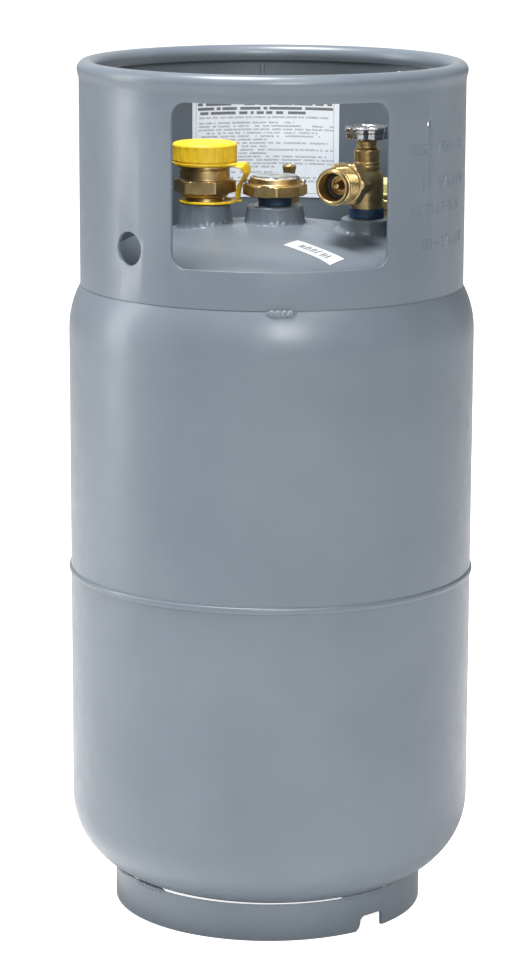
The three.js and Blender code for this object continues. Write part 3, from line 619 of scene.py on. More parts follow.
def seam_weld():
    """The circumferential bead: overlapping ripples under the paint."""
    half = 2.6
    proud = SEAM_RADIUS - VESSEL_RADIUS

    def ripple(r, z, angle):
        if r < VESSEL_RADIUS - 0.05:
            return r, z
        wave = 0.5 + 0.5 * math.cos(angle * 230 + 1.3 * (z - SEAM_Z))
        drift = noise.noise(Vector((math.cos(angle) * 6, math.sin(angle) * 6, 0)))
        swell = r + (r - VESSEL_RADIUS + 0.15) * (0.16 * wave - 0.16 + 0.10 * drift)
        return swell, z + 0.35 * drift
    arc = []
    for i in range(11):
        angle = math.radians(-90 + 18 * i)
        arc.append((VESSEL_RADIUS - 0.12 + (proud + 0.12) * math.cos(angle), SEAM_Z + half * math.sin(angle)))
    profile = [(VESSEL_RADIUS - WALL + 0.2, SEAM_Z - 1.9)] + arc + [(VESSEL_RADIUS - WALL + 0.2, SEAM_Z + 1.9)]
    mesh = revolve("seam_weld_bead", profile, 920, ripple, closed=True)
    piece("seam_weld_bead", mesh, PAINT, replaces="seam_weld", sharp=60)


vessel()
seam_weld()


# ---- rolled sheet parts: collar and foot ring -------------------------------------------

def rounded_outline(left, right, low, high, corner, steps=8):
    """A rectangle with round corners, as points that run anticlockwise."""
    points = []
    for cx, cz, start in ((right - corner, low + corner, -90), (right - corner, high - corner, 0),
                          (left + corner, high - corner, 90), (left + corner, low + corner, 180)):
        for i in range(steps + 1):
            angle = math.radians(start + 90 * i / steps)
            points.append((cx + corner * math.cos(angle), cz + corner * math.sin(angle)))
    return points


def round_outline(x, z, radius, count=40):
    return [(x + radius * math.cos(TAU * i / count), z + radius * math.sin(TAU * i / count))
            for i in range(count)]


def flat_sheet(outline, holes, thickness, bevel, bevel_outside=False):
    """A pierced plate in the XZ plane, with its cut edges rounded, as a bmesh."""
    bm = bmesh.new()
    loops = []
    for points in [outline] + holes:
        verts = [bm.verts.new((x, 0, z)) for x, z in points]
        loops.append([bm.edges.new((verts[i], verts[(i + 1) % len(verts)])) for i in range(len(verts))])
    edges = [e for loop in loops for e in loop]
    bmesh.ops.triangle_fill(bm, use_beauty=True, use_dissolve=False, edges=edges, normal=(0, -1, 0))
    bmesh.ops.dissolve_limit(bm, angle_limit=0.01, verts=bm.verts, edges=bm.edges, use_dissolve_boundaries=False)
    faces = list(bm.faces)
    back = bmesh.ops.extrude_face_region(bm, geom=faces)
    moved = [v for v in back["geom"] if isinstance(v, bmesh.types.BMVert)]
    bmesh.ops.translate(bm, verts=moved, vec=(0, thickness, 0))
    bmesh.ops.recalc_face_normals(bm, faces=bm.faces)
    xs = [p[0] for p in outline]
    zs = [p[1] for p in outline]
    rim = 1e-4

    def inside(edge):
        if bevel_outside:
            return all(min(xs) + rim < v.co.x < max(xs) - rim for v in edge.verts)
        return all(min(xs) + rim < v.co.x < max(xs) - rim and min(zs) + rim < v.co.z < max(zs) - rim
                   for v in edge.verts)
    sharp = [e for e in bm.edges if len(e.link_faces) == 2 and inside(e)
             and e.calc_face_angle(0) > math.radians(60) and abs(e.verts[0].co.y - e.verts[1].co.y) < rim]
    bmesh.ops.bevel(bm, geom=sharp, offset=bevel, segments=3, profile=0.5, affect="EDGES", clamp_overlap=True)
    return bm


def rolled(bm, radius, thickness, slices):
    """Cuts a flat plate into narrow strips and bends it round the upright axis.
    Across the plate, x is a distance round the outside, and y goes in from the outside."""
    half = math.pi * radius
    for i in range(1, slices):
        x = -half + 2 * half * i / slices
        geometry = list(bm.verts) + list(bm.edges) + list(bm.faces)
        bmesh.ops.bisect_plane(bm, geom=geometry, plane_co=(x, 0, 0), plane_no=(1, 0, 0), dist=1e-4)
    for v in bm.verts:
        angle = v.co.x / radius
        r = radius - v.co.y
        v.co = Vector((r * math.sin(angle), -r * math.cos(angle), v.co.z))
    ends = [f for f in bm.faces if all(f.calc_center_median().y > 0 and abs(v.co.x) < 1e-3 for v in f.verts)]
    bmesh.ops.delete(bm, geom=ends, context="FACES")
    bmesh.ops.remove_doubles(bm, verts=bm.verts, dist=2e-3)


def bm_to_mesh(name, bm):
    mesh = bpy.data.meshes.new(name)
    bmesh.ops.scale(bm, vec=(MM, MM, MM), verts=bm.verts)
    bm.to_mesh(mesh)
    bm.free()
    return mesh


COLLAR_SLICES = 180
NECK_Z = COLLAR_TOP - 2 * ROLL_RADIUS - 2
ROLL_END = 235


def roll_profile():
    """The curled rim, from the wall's outside up, over, in, and back to the wall's inside."""
    centre_r = COLLAR_RADIUS + ROLL_BULGE - ROLL_RADIUS
    centre_z = COLLAR_TOP - ROLL_RADIUS
    thin = ROLL_RADIUS - WALL + 0.4

    def point(size, degrees):
        angle = math.radians(degrees)
        return (centre_r + size * math.cos(angle), centre_z + size * math.sin(angle))
    rise = [(COLLAR_RADIUS + 0.12, NECK_Z + 2.2), (COLLAR_RADIUS + 0.55, NECK_Z + 4.2)]
    outer = [point(ROLL_RADIUS, a) for a in spread(-18, ROLL_END - 8, 30)]
    tip = [point(ROLL_RADIUS - 0.5, ROLL_END - 3), point((ROLL_RADIUS + thin) / 2, ROLL_END), point(thin + 0.5, ROLL_END - 3)]
    inner = [point(thin, a) for a in spread(ROLL_END - 8, -18, 20)]
    fall = [(COLLAR_RADIUS - WALL + 0.3, NECK_Z + 4.6), (COLLAR_RADIUS - WALL + 0.05, NECK_Z + 2.2)]
    return rise + outer + tip + inner + fall


def collar():
    inner = COLLAR_RADIUS - WALL
    per_degree = math.pi * COLLAR_RADIUS / 180
    half = math.pi * COLLAR_RADIUS
    seat = UPPER_HEAD[0] + head_height(UPPER_HEAD, COLLAR_RADIUS) + 0.9
    seat_in = UPPER_HEAD[0] + head_height(UPPER_HEAD, inner) + 0.9
    outline = [(-half, seat), (half, seat), (half, NECK_Z), (-half, NECK_Z)]
    window = rounded_outline(-32.7 * per_degree, 32.7 * per_degree, 523.3, 645.2, 11.5)
    holes = [window]
    for middle in (118.5, -118.5):
        holes.append(rounded_outline((middle - 19.5) * per_degree, (middle + 19.5) * per_degree, 596, 648, 12))
    holes.append(round_outline(-48.5 * per_degree, 534, 12.7))
    holes.append(round_outline(49 * per_degree, 626, 2.5, 20))
    bm = flat_sheet(outline, holes, WALL, 0.7)
    rolled(bm, COLLAR_RADIUS, WALL, COLLAR_SLICES)
    for v in bm.verts:
        if v.co.z < seat + 0.01:
            share = (COLLAR_RADIUS - math.hypot(v.co.x, v.co.y)) / WALL
            v.co.z = seat + (seat_in - seat) * share
    lids = [f for f in bm.faces if all(v.co.z > NECK_Z - 0.01 for v in f.verts)]
    bmesh.ops.delete(bm, geom=lids, context="FACES")
    profile = roll_profile()
    profile = [(COLLAR_RADIUS, NECK_Z)] + profile + [(inner, NECK_Z)]
    rings = []
    for r, z in profile:
        ring = []
        for i in range(COLLAR_SLICES):
            angle = -math.pi + TAU * i / COLLAR_SLICES
            ring.append(bm.verts.new((r * math.sin(angle), -r * math.cos(angle), z)))
        rings.append(ring)
    for low, high in zip(rings, rings[1:]):
        for i in range(COLLAR_SLICES):
            j = (i + 1) % COLLAR_SLICES
            bm.faces.new((low[i], low[j], high[j], high[i]))
    bmesh.ops.remove_doubles(bm, verts=bm.verts, dist=5e-3)
    bmesh.ops.recalc_face_normals(bm, faces=bm.faces)
    piece("collar_skin", bm_to_mesh("collar_skin", bm), PAINT, replaces="collar", sharp=40)


def foot_ring():
    half = math.pi * FOOT_RADIUS
    per_degree = half / 180
    low, high, middle = 0.0, FOOT_TOP, 39.5 * per_degree
    notch = [(middle - 15.5, 0.0), (middle - 12.6, 2.6), (middle - 11.5, 6.0), (middle - 11.2, 9.0),
             (middle - 8.6, 11.3), (middle + 8.6, 11.5), (middle + 11.2, 9.2), (middle + 11.5, 0.0)]
    outline = [(-half, low)] + notch + [(half, low), (half, high), (-half, high)]
    bm = flat_sheet(outline, [], WALL, 0.5, bevel_outside=True)
    rolled(bm, FOOT_RADIUS, WALL, 144)
    for v in bm.verts:
        if v.co.z > high - 0.7:
            share = (FOOT_RADIUS - math.hypot(v.co.x, v.co.y)) / WALL
            v.co.z -= 1.3 * share
    mesh = bm_to_mesh("foot_ring_skin", bm)
    piece("foot_ring_skin", mesh, PAINT, replaces="foot_ring", sharp=40, place=(FOOT_X, 0))


collar()
foot_ring()


# ---- weld beads on the collar and the foot ring -------------------------------------------

def arc_bead(name, radius, azimuths, height_at, size, ripples, lean=0.0):
    """A rippled fillet bead along an arc. height_at(azimuth) is its middle's height."""
    start, end = azimuths
    steps = max(12, int(abs(end - start) * 5))
    shape = random.Random(name)
    phase = shape.random() * TAU
    route = [polar(radius, a, height_at(a)) for a in spread(start, end, steps)]

    def section(t):
        swell = min(1.0, 6 * t + 0.25, 6 * (1 - t) + 0.25)
        wave = 1 + 0.14 * math.sin(TAU * ripples * t + phase) + 0.08 * noise.noise(Vector((t * 40, phase, 0)))
        turn = math.radians(lean)
        outline = []
        for a, b in oval(size[0] * swell * wave, size[1] * swell * wave, 14):
            outline.append((a * math.cos(turn) - b * math.sin(turn), a * math.sin(turn) + b * math.cos(turn)))
        return outline
    return swept(name, route, section)


def foot_welds():
    spans = {1: (25.5, 45), 2: (66, 100), 3: (160, 195), 4: (-100, -65.5), 5: (-59.5, -43.5)}
    for index, span in spans.items():
        ripples = abs(span[1] - span[0]) * 0.55
        mesh = arc_bead(f"foot_weld_{index}_bead", FOOT_RADIUS + 0.7, span, lambda a: FOOT_TOP + 0.3,
                        (2.3, 2.0), ripples, lean=40)
        piece(f"foot_weld_{index}_bead", mesh, PAINT, replaces=f"foot_weld_{index}", place=(FOOT_X, 0))


def collar_welds():
    """Three short fillets at the collar's foot, each run twice over the same spot."""
    rest = UPPER_HEAD[0] + head_height(UPPER_HEAD, COLLAR_RADIUS + 1.5)
    for side, middle in (("front", 0), ("right", 120), ("left", -120)):
        name = f"collar_weld_{side}_bead"
        long = arc_bead(name, COLLAR_RADIUS + 0.5, (middle - 4.4, middle + 4.4), lambda a: rest + 1.9, (2.3, 2.7), 5)
        short = arc_bead(name + "_2", COLLAR_RADIUS + 1.2, (middle - 2.6, middle + 3.4), lambda a: rest + 0.9, (1.9, 1.8), 4)
        piece(name, joined(name, long, short), PAINT, replaces=f"collar_weld_{side}")


foot_welds()
collar_welds()


# ---- bosses -------------------------------------------------------------------------------

def boss(name, station, bore, size, flare):
    """A half-coupling with a fillet weld that follows the dome around it."""
    height = top(name)
    x0, y0 = station
    # A row of the fillet is written as a height between -1 (its edge) and 0 (its throat).
    fillet = [(None, -i / 10) for i in range(11)]

    def settle(r, z, angle):
        if z > 0:
            return r, z
        share = -z
        reach = size + 0.9 + (flare - size - 0.9) * share ** 1.6
        reach += 0.35 * math.sin(angle * size * 1.15 + share) * (1 - abs(2 * share - 1))
        edge = dome_z(x0 + reach * math.sin(angle), y0 - reach * math.cos(angle))
        high = min(height - 3.0, edge + 4.4)
        return reach, edge - 0.4 * share + (high - edge) * (1 - share) ** 1.7
    profile = [(bore, height - 24), (bore, height - 1.0), (bore + 0.9, height, 0.2), (size - 1.1, height, 0.8),
               (size, height - 1.4, 0.7), (size, height - 2.6)]
    outline = softened(profile) + [(size + 1, z) for _, z in fillet]
    mesh = revolve(name, outline, 120, settle)
    piece(name + "_skin", mesh, PAINT, replaces=name, sharp=42, place=station)


for boss_name, boss_station, boss_bore, boss_size, boss_flare in (
        ("fill_boss", FILL, 15.3, 20, 22.8), ("gauge_boss", GAUGE, 11.9, 21.8, 24.4),
        ("service_boss", SERVICE, 12.6, 19.3, 27), ("relief_boss", RELIEF, 10.6, 16.5, 21),
        ("bleeder_boss", BLEEDER, 6.3, 11, 15)):
    boss(boss_name, boss_station, boss_bore, boss_size, boss_flare)


# ---- fill valve -----------------------------------------------------------------------------

ACME_PITCH = 25.4 / 6
ACME_DEPTH = 1.5


def fill_valve():
    low, high = 583, 598.8
    thread = 21.9
    profile = ([(12.6, 530), (14.2, 530), (15, 531, 0.5), (15, 557.6, 0.6), (14.4, 558.4, 0.4), (14.4, 559.2, 0.4),
                (17.4, 559.9, 0.8), (18.4, 561.9, 0.6), (20.8, 562.9, 0.3), (24.3, 563.7, 0.4), (24.3, 572.3, 0.4),
                (21.4, 573.2, 0.4), (19.5, 573.6, 0.4), (19.4, 574.4, 0.4), (19.4, 580.8, 0.5), (18.5, 581.6, 0.3),
                (18.5, 582.2, 0.3),
                (thread - 0.9, low - 0.4)]
               + thread_rows(thread, low, high, ACME_PITCH)
               + [(thread - 1, 599.6, 0.3), (17, 599.6, 0.4), (16.5, 599, 0.3), (16.5, 591.5, 0.5), (10.6, 591, 0.3),
                  (10.6, 588, 0.3), (12.6, 588)])
    shape = chained(flats_shape(6, 24.4, 562.7, 573.5), thread_shape(thread, ACME_DEPTH, low, high, ACME_PITCH))
    mesh = revolve("fill_valve_skin", profile, 240, shape, closed=True)
    piece("fill_valve_skin", mesh, CAST_BRASS, replaces="fill_valve_body", sharp=32,
          place=FILL, turn=18.5)


def fill_cap():
    """The yellow cap: shallow flutes round its side, a thread inside and a soft top edge."""
    ribs = 20

    def flutes(r, z, angle):
        if r < 24.2 or z < 587.6 or z > 599.6:
            return r, z
        ends = smooth_step(587.6, 589.4, z) * (1 - smooth_step(597.4, 599.7, z))
        wave = abs(math.sin(angle * ribs / 2))
        return r - 0.55 * ends * (1 - wave) ** 2, z
    low, high = 585, 600
    side = [(25, z) for z in spread(588.6, 598.8, 14)]
    profile = ([(22.4, 600.6)] + list(reversed(thread_rows(22.4, low, high, ACME_PITCH, 6)))
               + [(22.4, 584.3), (23.7, 584.3, 0.3), (23.7, 587, 0.2), (24.2, 587, 0.3), (24.9, 588)] + side
               + [(25, 599.6), (24.7, 600.4), (23.9, 601.2), (22.4, 601.7, 0.6), (14, 602), (0, 601.9)])
    inside = thread_shape(22.4, -0.4, low, high, ACME_PITCH)
    mesh = revolve("fill_cap_skin", [(0, 600.6)] + profile, 256, chained(flutes, inside))
    piece("fill_cap_skin", mesh, YELLOW, "cap", "fill_cap", 40, place=FILL)


TAB_AZIMUTH = 57.6
STRAP_ROUTE = ((28.8, -17.2, 585), (32, -13.8, 580.6), (30.6, -7.6, 575), (27.2, -1.8, 569),
               (25.9, 0.2, 563), (25.2, 0, 557.7))


def slab(name, outline, low, high, bevel=0.4):
    """A flat plate from an outline of (x, y) points, with its edges rounded."""
    bm = bmesh.new()
    face = bm.faces.new([bm.verts.new((x, y, low)) for x, y in outline])
    raised = bmesh.ops.extrude_face_region(bm, geom=[face])
    moved = [v for v in raised["geom"] if isinstance(v, bmesh.types.BMVert)]
    bmesh.ops.translate(bm, verts=moved, vec=(0, 0, high - low))
    if bevel:
        edges = [e for e in bm.edges if abs(e.verts[0].co.z - e.verts[1].co.z) < 1e-6]
        bmesh.ops.bevel(bm, geom=edges, offset=bevel, segments=3, profile=0.5, affect="EDGES", clamp_overlap=True)
    return bm_to_mesh(name, bm)


def tether():
    """A loop under the cap, a flat strap that bows out, and a ring under the valve."""
    loop = revolve("cap_loop_band", [(23.9, 584.6, 0.3), (24.3, 584.6, 0.3), (25, 585.7, 0.5), (25, 586.7, 0.3),
                                     (23.9, 586.7, 0.3)], 96, closed=True)
    tab = slab("cap_loop_tab", [(-4.4, -28.5), (4.4, -28.5), (5.2, -25.6), (8, -23.4), (-8, -23.4), (-5.2, -25.6)],
               584.7, 586.6, 0.5)
    tab.transform(Matrix.Rotation(math.radians(TAB_AZIMUTH), 4, "Z"))
    piece("cap_loop_skin", joined("cap_loop_skin", loop, tab), YELLOW, "cap_carrier", "cap_loop", 40,
          place=FILL)

    ends = polar(28.9, TAB_AZIMUTH, 585.6)
    route = curve_through([ends] + [Vector(p) for p in STRAP_ROUTE], 12)

    def section(t):
        broad = 4.4 - 0.9 * smooth_step(0, 0.5, t)
        return oval(0.85, broad, 16, 0.55)
    strap = swept("tether_strap_skin", route, section, up=Vector((0.78, 0.5, 0.35)), end_up=Vector((0.5, 0.86, 0)))
    strap = bpy.data.objects.new("tether_strap_skin", finish_placed(strap, YELLOW, FILL))
    bpy.context.scene.collection.objects.link(strap)
    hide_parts("tether_strap")
    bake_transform(strap)

    low, high = bottom("tether_ring"), top("tether_ring")
    band = revolve("tether_ring_band", [(18.2, low, 0.4), (22.4, low, 0.4), (22.4, high, 0.4), (18.2, high, 0.4)],
                   96, closed=True)
    band.transform(Matrix.Translation(Vector((2.5, 0, 0)) * MM))
    tail = slab("tether_ring_tab", [(23.6, -4.6), (25.6, -3.4), (28.4, -3.2), (28.4, 3.2), (25.6, 3.4), (23.6, 4.6)],
                low, high, 0.5)
    piece("tether_ring_skin", joined("tether_ring_skin", band, tail), YELLOW, "root", "tether_ring",
          40, place=FILL)


fill_valve()
fill_cap()
tether()


# ---- contents gauge -------------------------------------------------------------------------

def gauge_head():
    profile = [(0, 567.9), (8, 567.9), (8, 530), (11.6, 530), (11.6, 560.9, 0.5), (12.8, 561.6, 0.3), (22.2, 561.8, 0.6),
               (24.8, 562.8, 0.5), (24.8, 569.8, 0.5), (22.6, 570.9, 0.4), (20, 571.1, 0.4), (19.6, 571.5, 0.4),
               (19.5, 575.2, 0.5), (19.1, 575.6, 0.2), (18.9, 575.4, 0.1), (18.9, 574.5, 0.1), (17.7, 574.5, 0.2),
               (17.4, 574.1, 0.2), (17.4, 572.3, 0.2), (0, 572.3)]
    head = revolve("gauge_head_skin", profile, 240, flats_shape(8, 25, 561.7, 571))
    drills = []
    for side in (-1, 1):
        drill = revolve("drill", [(0, 550), (1.7, 550), (1.7, 580), (0, 580)], 24)
        drill.transform(Matrix.Translation(Vector((21.6 * side, 0, 0)) * MM))
        drills.append(drill)
    piece("gauge_head_skin", boolean(head, drills), CAST_BRASS, replaces="gauge_head",
          sharp=30, place=GAUGE)


def screw(name, node, x):
    """A slotted pan-head screw."""
    head = revolve(name, [(0, 565), (1.4, 565), (1.4, 571.2), (2.3, 571.2, 0.2), (2.3, 573, 0.5), (1.6, 573.8, 0.4),
                          (0, 574)], 32)
    slot_cut = slab("slot", [(-3, -0.3), (3, -0.3), (3, 0.3), (-3, 0.3)], 573.1, 575, 0)
    mesh = boolean(head, [slot_cut])
    mesh.transform(Matrix.Rotation(0.6 * x, 4, "Z"))
    mesh.transform(Matrix.Translation(Vector((x, 0, 0)) * MM))
    piece(name, mesh, STEEL, replaces=node, place=GAUGE)


def dial_finish():
    """A white dial with a black band, a red sector and marks, all by angle and radius."""
    f = Finish("dial_print", Metallic=0.0, Roughness=0.35)
    tree = f.tree
    split = tree.nodes.new("ShaderNodeSeparateXYZ")
    f.link(f.coordinates, split.inputs[0])

    def math_node(operation, first, second=0.0, third=None):
        node = tree.nodes.new("ShaderNodeMath")
        node.operation = operation
        for value, socket in zip((first, second, third), node.inputs):
            if value is None:
                continue
            if isinstance(value, bpy.types.NodeSocket):
                f.link(value, socket)
            else:
                socket.default_value = value
        return node.outputs[0]
    x = math_node("SUBTRACT", split.outputs[0], GAUGE[0] * MM)
    y = math_node("SUBTRACT", split.outputs[1], GAUGE[1] * MM)
    radius = math_node("SQRT", math_node("ADD", math_node("MULTIPLY", x, x), math_node("MULTIPLY", y, y)))
    angle = math_node("ARCTAN2", x, y)
    turn = math_node("ABSOLUTE", angle)
    comb = math_node("FRACT", math_node("ADD", math_node("MULTIPLY", angle, 20 / math.pi), 0.5))
    tick = math_node("COMPARE", comb, 0.5, 0.10)
    in_track = math_node("COMPARE", radius, 0.0132, 0.0013)
    in_scale = math_node("LESS_THAN", turn, math.radians(106))
    marks = math_node("MULTIPLY", math_node("MULTIPLY", tick, in_track), in_scale)
    ring = math_node("MULTIPLY", math_node("COMPARE", radius, 0.0148, 0.00015), in_scale)
    red_zone = math_node("MULTIPLY", math_node("COMPARE", angle, math.radians(-91), math.radians(14)),
                         math_node("COMPARE", radius, 0.0111, 0.0006))
    white = srgb(236, 236, 230)
    f.colour(f.mix(red_zone, f.mix(math_node("MAXIMUM", marks, ring), white, srgb(25, 25, 28)), srgb(178, 44, 36)))
    f.gloss(f.grey_ramp(f.noise(500, 3), 0.3, 0.7, 0.3, 0.42))
    f.bump((f.noise(1500, 3), 0.01, 0.3))
    return f.material


def gauge():
    gauge_head()
    screw("gauge_screw_1_head", "gauge_screw_1", -21.6)
    screw("gauge_screw_2_head", "gauge_screw_2", 21.6)
    dial = revolve("gauge_dial_skin", [(0, 572.6), (16.8, 572.6, 0.2), (17, 573.4, 0.2), (1.6, 573.4, 0.2),
                                       (0.7, 573.7, 0.2), (0.7, 576, 0.2), (0, 576.1)], 96)
    piece("gauge_dial_skin", dial, dial_finish(), replaces="gauge_dial_face", place=GAUGE)
    blade = slab("pointer_blade", [(-1.7, 5), (-1.1, 0), (-0.3, -13.5), (0.3, -13.5), (1.1, 0), (1.7, 5)], 574.3, 574.9, 0.12)
    hub = revolve("pointer_hub", [(1.1, 573.8, 0.1), (2.4, 573.8, 0.2), (2.4, 575.5, 0.4), (1.1, 575.7, 0.1)], 40,
                  closed=True)
    piece("gauge_pointer_skin", joined("gauge_pointer_skin", blade, hub), BLACK_PLASTIC, "pointer", "gauge_pointer",
          place=GAUGE)
    lens = revolve("gauge_lens_skin", [(16.6, 574.9, 0.2), (18.6, 574.9, 0.3), (18.6, 575.7, 0.6), (17.2, 577, 0.9),
                                       (14, 577.7), (10, 578.1), (5, 578.3), (0, 578.4), (0, 577.2), (5, 577.2),
                                       (10, 577), (15.8, 576.2, 0.5), (16.6, 575.6, 0.4), (16.6, 574.9)], 96)
    piece("gauge_lens_skin", lens, LENS, replaces="gauge_lens", place=GAUGE)


def sealant(name, node, station, inner, outer):
    """Thread sealant that has squeezed out unevenly between a boss and its fitting."""
    low, high = bottom(node), top(node)

    def lumps(r, z, angle):
        if r < inner + 0.2:
            return r, z
        around = Vector((3 * math.cos(angle), 3 * math.sin(angle), z * 0.25))
        ends = 1 - abs(2 * (z - low) / (high - low) - 1) ** 3
        return r + 0.35 * noise.noise(around * 2.2) * ends + 0.2 * noise.noise(around * 6) * ends, z
    profile = [(inner, low), (outer - 0.3, low)] + [(outer - 0.15, z) for z in spread(low + 0.4, high - 0.4, 10)]
    profile += [(outer - 0.4, high), (inner, high)]
    mesh = revolve(name, profile, 120, lumps, closed=True)
    piece(name, mesh, SEALANT, replaces=node, sharp=60, place=station)


gauge()
sealant("gauge_sealant_skin", "gauge_thread_sealant", GAUGE, 11.9, 12.9)
sealant("service_sealant_skin", "service_thread_sealant", SERVICE, 12.6, 13.6)


# ---- service valve ----------------------------------------------------------------------------

OUTLET_Z = 577.1
OUTLET_AZIMUTH = -28.2
OUTLET = (Matrix.Translation(Vector((SERVICE[0], SERVICE[1], OUTLET_Z)) * MM)
          @ Matrix.Rotation(math.radians(OUTLET_AZIMUTH), 4, "Z") @ Matrix.Rotation(math.pi / 2, 4, "X"))
# The outlet's frame seen from the valve's own axis, before the valve is moved to its station.
OUTLET_HERE = Matrix.Translation(Vector((-SERVICE[0], -SERVICE[1], 0)) * MM) @ OUTLET


def service_body():
    """A forging: the spigot, the bulb and the outlet's arm melt into one skin, then it is bored."""
    bulb = revolve("bulb", [(0, 556), (12.3, 556), (12.3, 560), (12.9, 565), (12.9, 577.5), (11.6, 581.5),
                            (10, 584), (10, 588), (0, 588)], 96)
    arm = revolve("arm", [(0, 0), (10.4, 0), (10.4, 12), (11.6, 24), (11.6, 29.7), (0, 29.7)], 64)
    arm.transform(OUTLET_HERE)
    heel = revolve("heel", [(0, 0), (7.5, 0), (7.5, 14.2), (6, 15.4), (0, 15.4)], 48)
    heel.transform(OUTLET_HERE @ Matrix.Rotation(math.pi, 4, "X"))
    forging = remeshed(boolean(bulb, [arm, heel], "UNION"), 0.55, 7)
    spigot = revolve("spigot", [(0, 527), (11.6, 527), (12.3, 528), (12.3, 558), (0, 558)], 96)
    neck = revolve("neck", [(0, 584), (10, 584), (10.2, 584.4), (10.2, 587.5), (9.8, 588), (0, 588)], 96)
    bores = [revolve("bore", [(0, 520), (7, 520), (7, 562), (0, 562)], 48),
             revolve("seat", [(0, 550), (4.5, 550), (4.5, 580), (0, 580)], 48),
             revolve("chamber", [(0, 566), (8, 566), (8, 600), (0, 600)], 48)]
    outlet_bore = revolve("outlet_bore", [(0, 0), (5.5, 0), (5.5, 40), (0, 40)], 48)
    outlet_bore.transform(OUTLET_HERE)
    solid = boolean(forging, [spigot, neck], "UNION")
    solid = boolean(solid, bores + [outlet_bore])
    piece("service_valve_skin", solid, CAST_BRASS, replaces="service_valve_body", sharp=45,
          place=SERVICE)


def coupler():
    """The hexagon, the threaded barrel with its bore, and the seal inside the mouth."""
    low, high = 45, 61.6
    thread = 14.1
    pitch = ACME_PITCH * 0.6
    profile = ([(5.5, 30), (13.6, 30, 0.3), (17.2, 31.3, 0.6), (17.2, 42.2, 0.6), (14.8, 43.4, 0.4),
                (12.9, 43.8, 0.3), (12.9, 44.6, 0.2)]
               + thread_rows(thread, low, high, pitch)
               + [(13, 62, 0.2), (13, 62.8, 0.3), (12.6, 64.5, 0.3), (12.3, 65, 0.3), (11.1, 65, 0.3),
                  (10.6, 64.4, 0.3), (10.4, 52, 0.3), (10.4, 49, 0.2), (6.4, 49, 0.3), (6.2, 48.6), (6.2, 47, 0.2),
                  (8.6, 47, 0.2), (8.6, 33, 0.2), (5.5, 33, 0.2)])
    shape = chained(flats_shape(6, 17.4, 29.9, 43.5), thread_shape(thread, 1, low, high, pitch))
    mesh = revolve("coupler_skin", profile, 240, shape, closed=True)
    mesh.transform(Matrix.Rotation(math.radians(30), 4, "Z"))
    mesh.transform(OUTLET)
    piece("coupler_skin", mesh, TURNED_BRASS, replaces="coupler_body", sharp=32)

    poppet = revolve("coupler_poppet_skin", [(0, 42), (7.2, 42), (7.6, 42.4, 0.2), (7.6, 46.4, 0.3), (6.8, 46.7, 0.3),
                                             (3.3, 46.7, 0.5), (2.9, 49, 0.5), (2.7, 55.6, 0.5), (1.9, 56.8, 0.4),
                                             (0, 57)], 64)
    poppet.transform(OUTLET)
    piece("coupler_poppet_skin", poppet, TURNED_BRASS, "coupler_check", "coupler_poppet")

    seal = revolve("coupler_seal_skin", [(7.2, 49.4, 0.4), (10.05, 49.4, 0.4), (10.05, 51.5, 0.6), (7.2, 51.5, 0.6)],
                   64, closed=True)
    seal.transform(OUTLET)
    piece("coupler_seal_skin", seal, RUBBER, replaces="coupler_seal")

    wire = coil("coupler_spring_wire", 6.9, 0.7, 33.3, 41.7, 3)
    wire.transform(OUTLET)
    bend(wire, "coupler_spring_wire", "coupler_spring")


def bend(mesh, name, node):
    """A spring between the root and a sprung body."""
    obj = bpy.data.objects.new(name, finish_placed(mesh, STEEL, (0, 0)))
    bpy.context.scene.collection.objects.link(obj)
    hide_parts(node)
    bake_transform(obj)


def bonnet():
    """The bonnet screws into the body: a chamfered round body above, and a packing gland on top."""
    profile = [(3.4, 584.6), (7.6, 584.6, 0.2), (7.6, 588.3), (10.1, 588.3, 0.4), (10.2, 589.6, 0.4), (9.7, 590.4, 0.3),
               (9.9, 598.6, 0.5), (9.2, 599.8, 0.5), (8.2, 600.6, 0.5),
               (7.7, 601, 0.4), (7.7, 603.3, 0.2), (7.3, 603.6, 0.2), (7.3, 604.1, 0.2), (7.7, 604.4, 0.2),
               (7.7, 606, 0.4), (7.2, 606.6, 0.2), (3.4, 606.6, 0.2)]
    mesh = revolve("service_bonnet_skin", profile, 120, closed=True)
    piece("service_bonnet_skin", mesh, CAST_BRASS, replaces="service_bonnet", place=SERVICE)


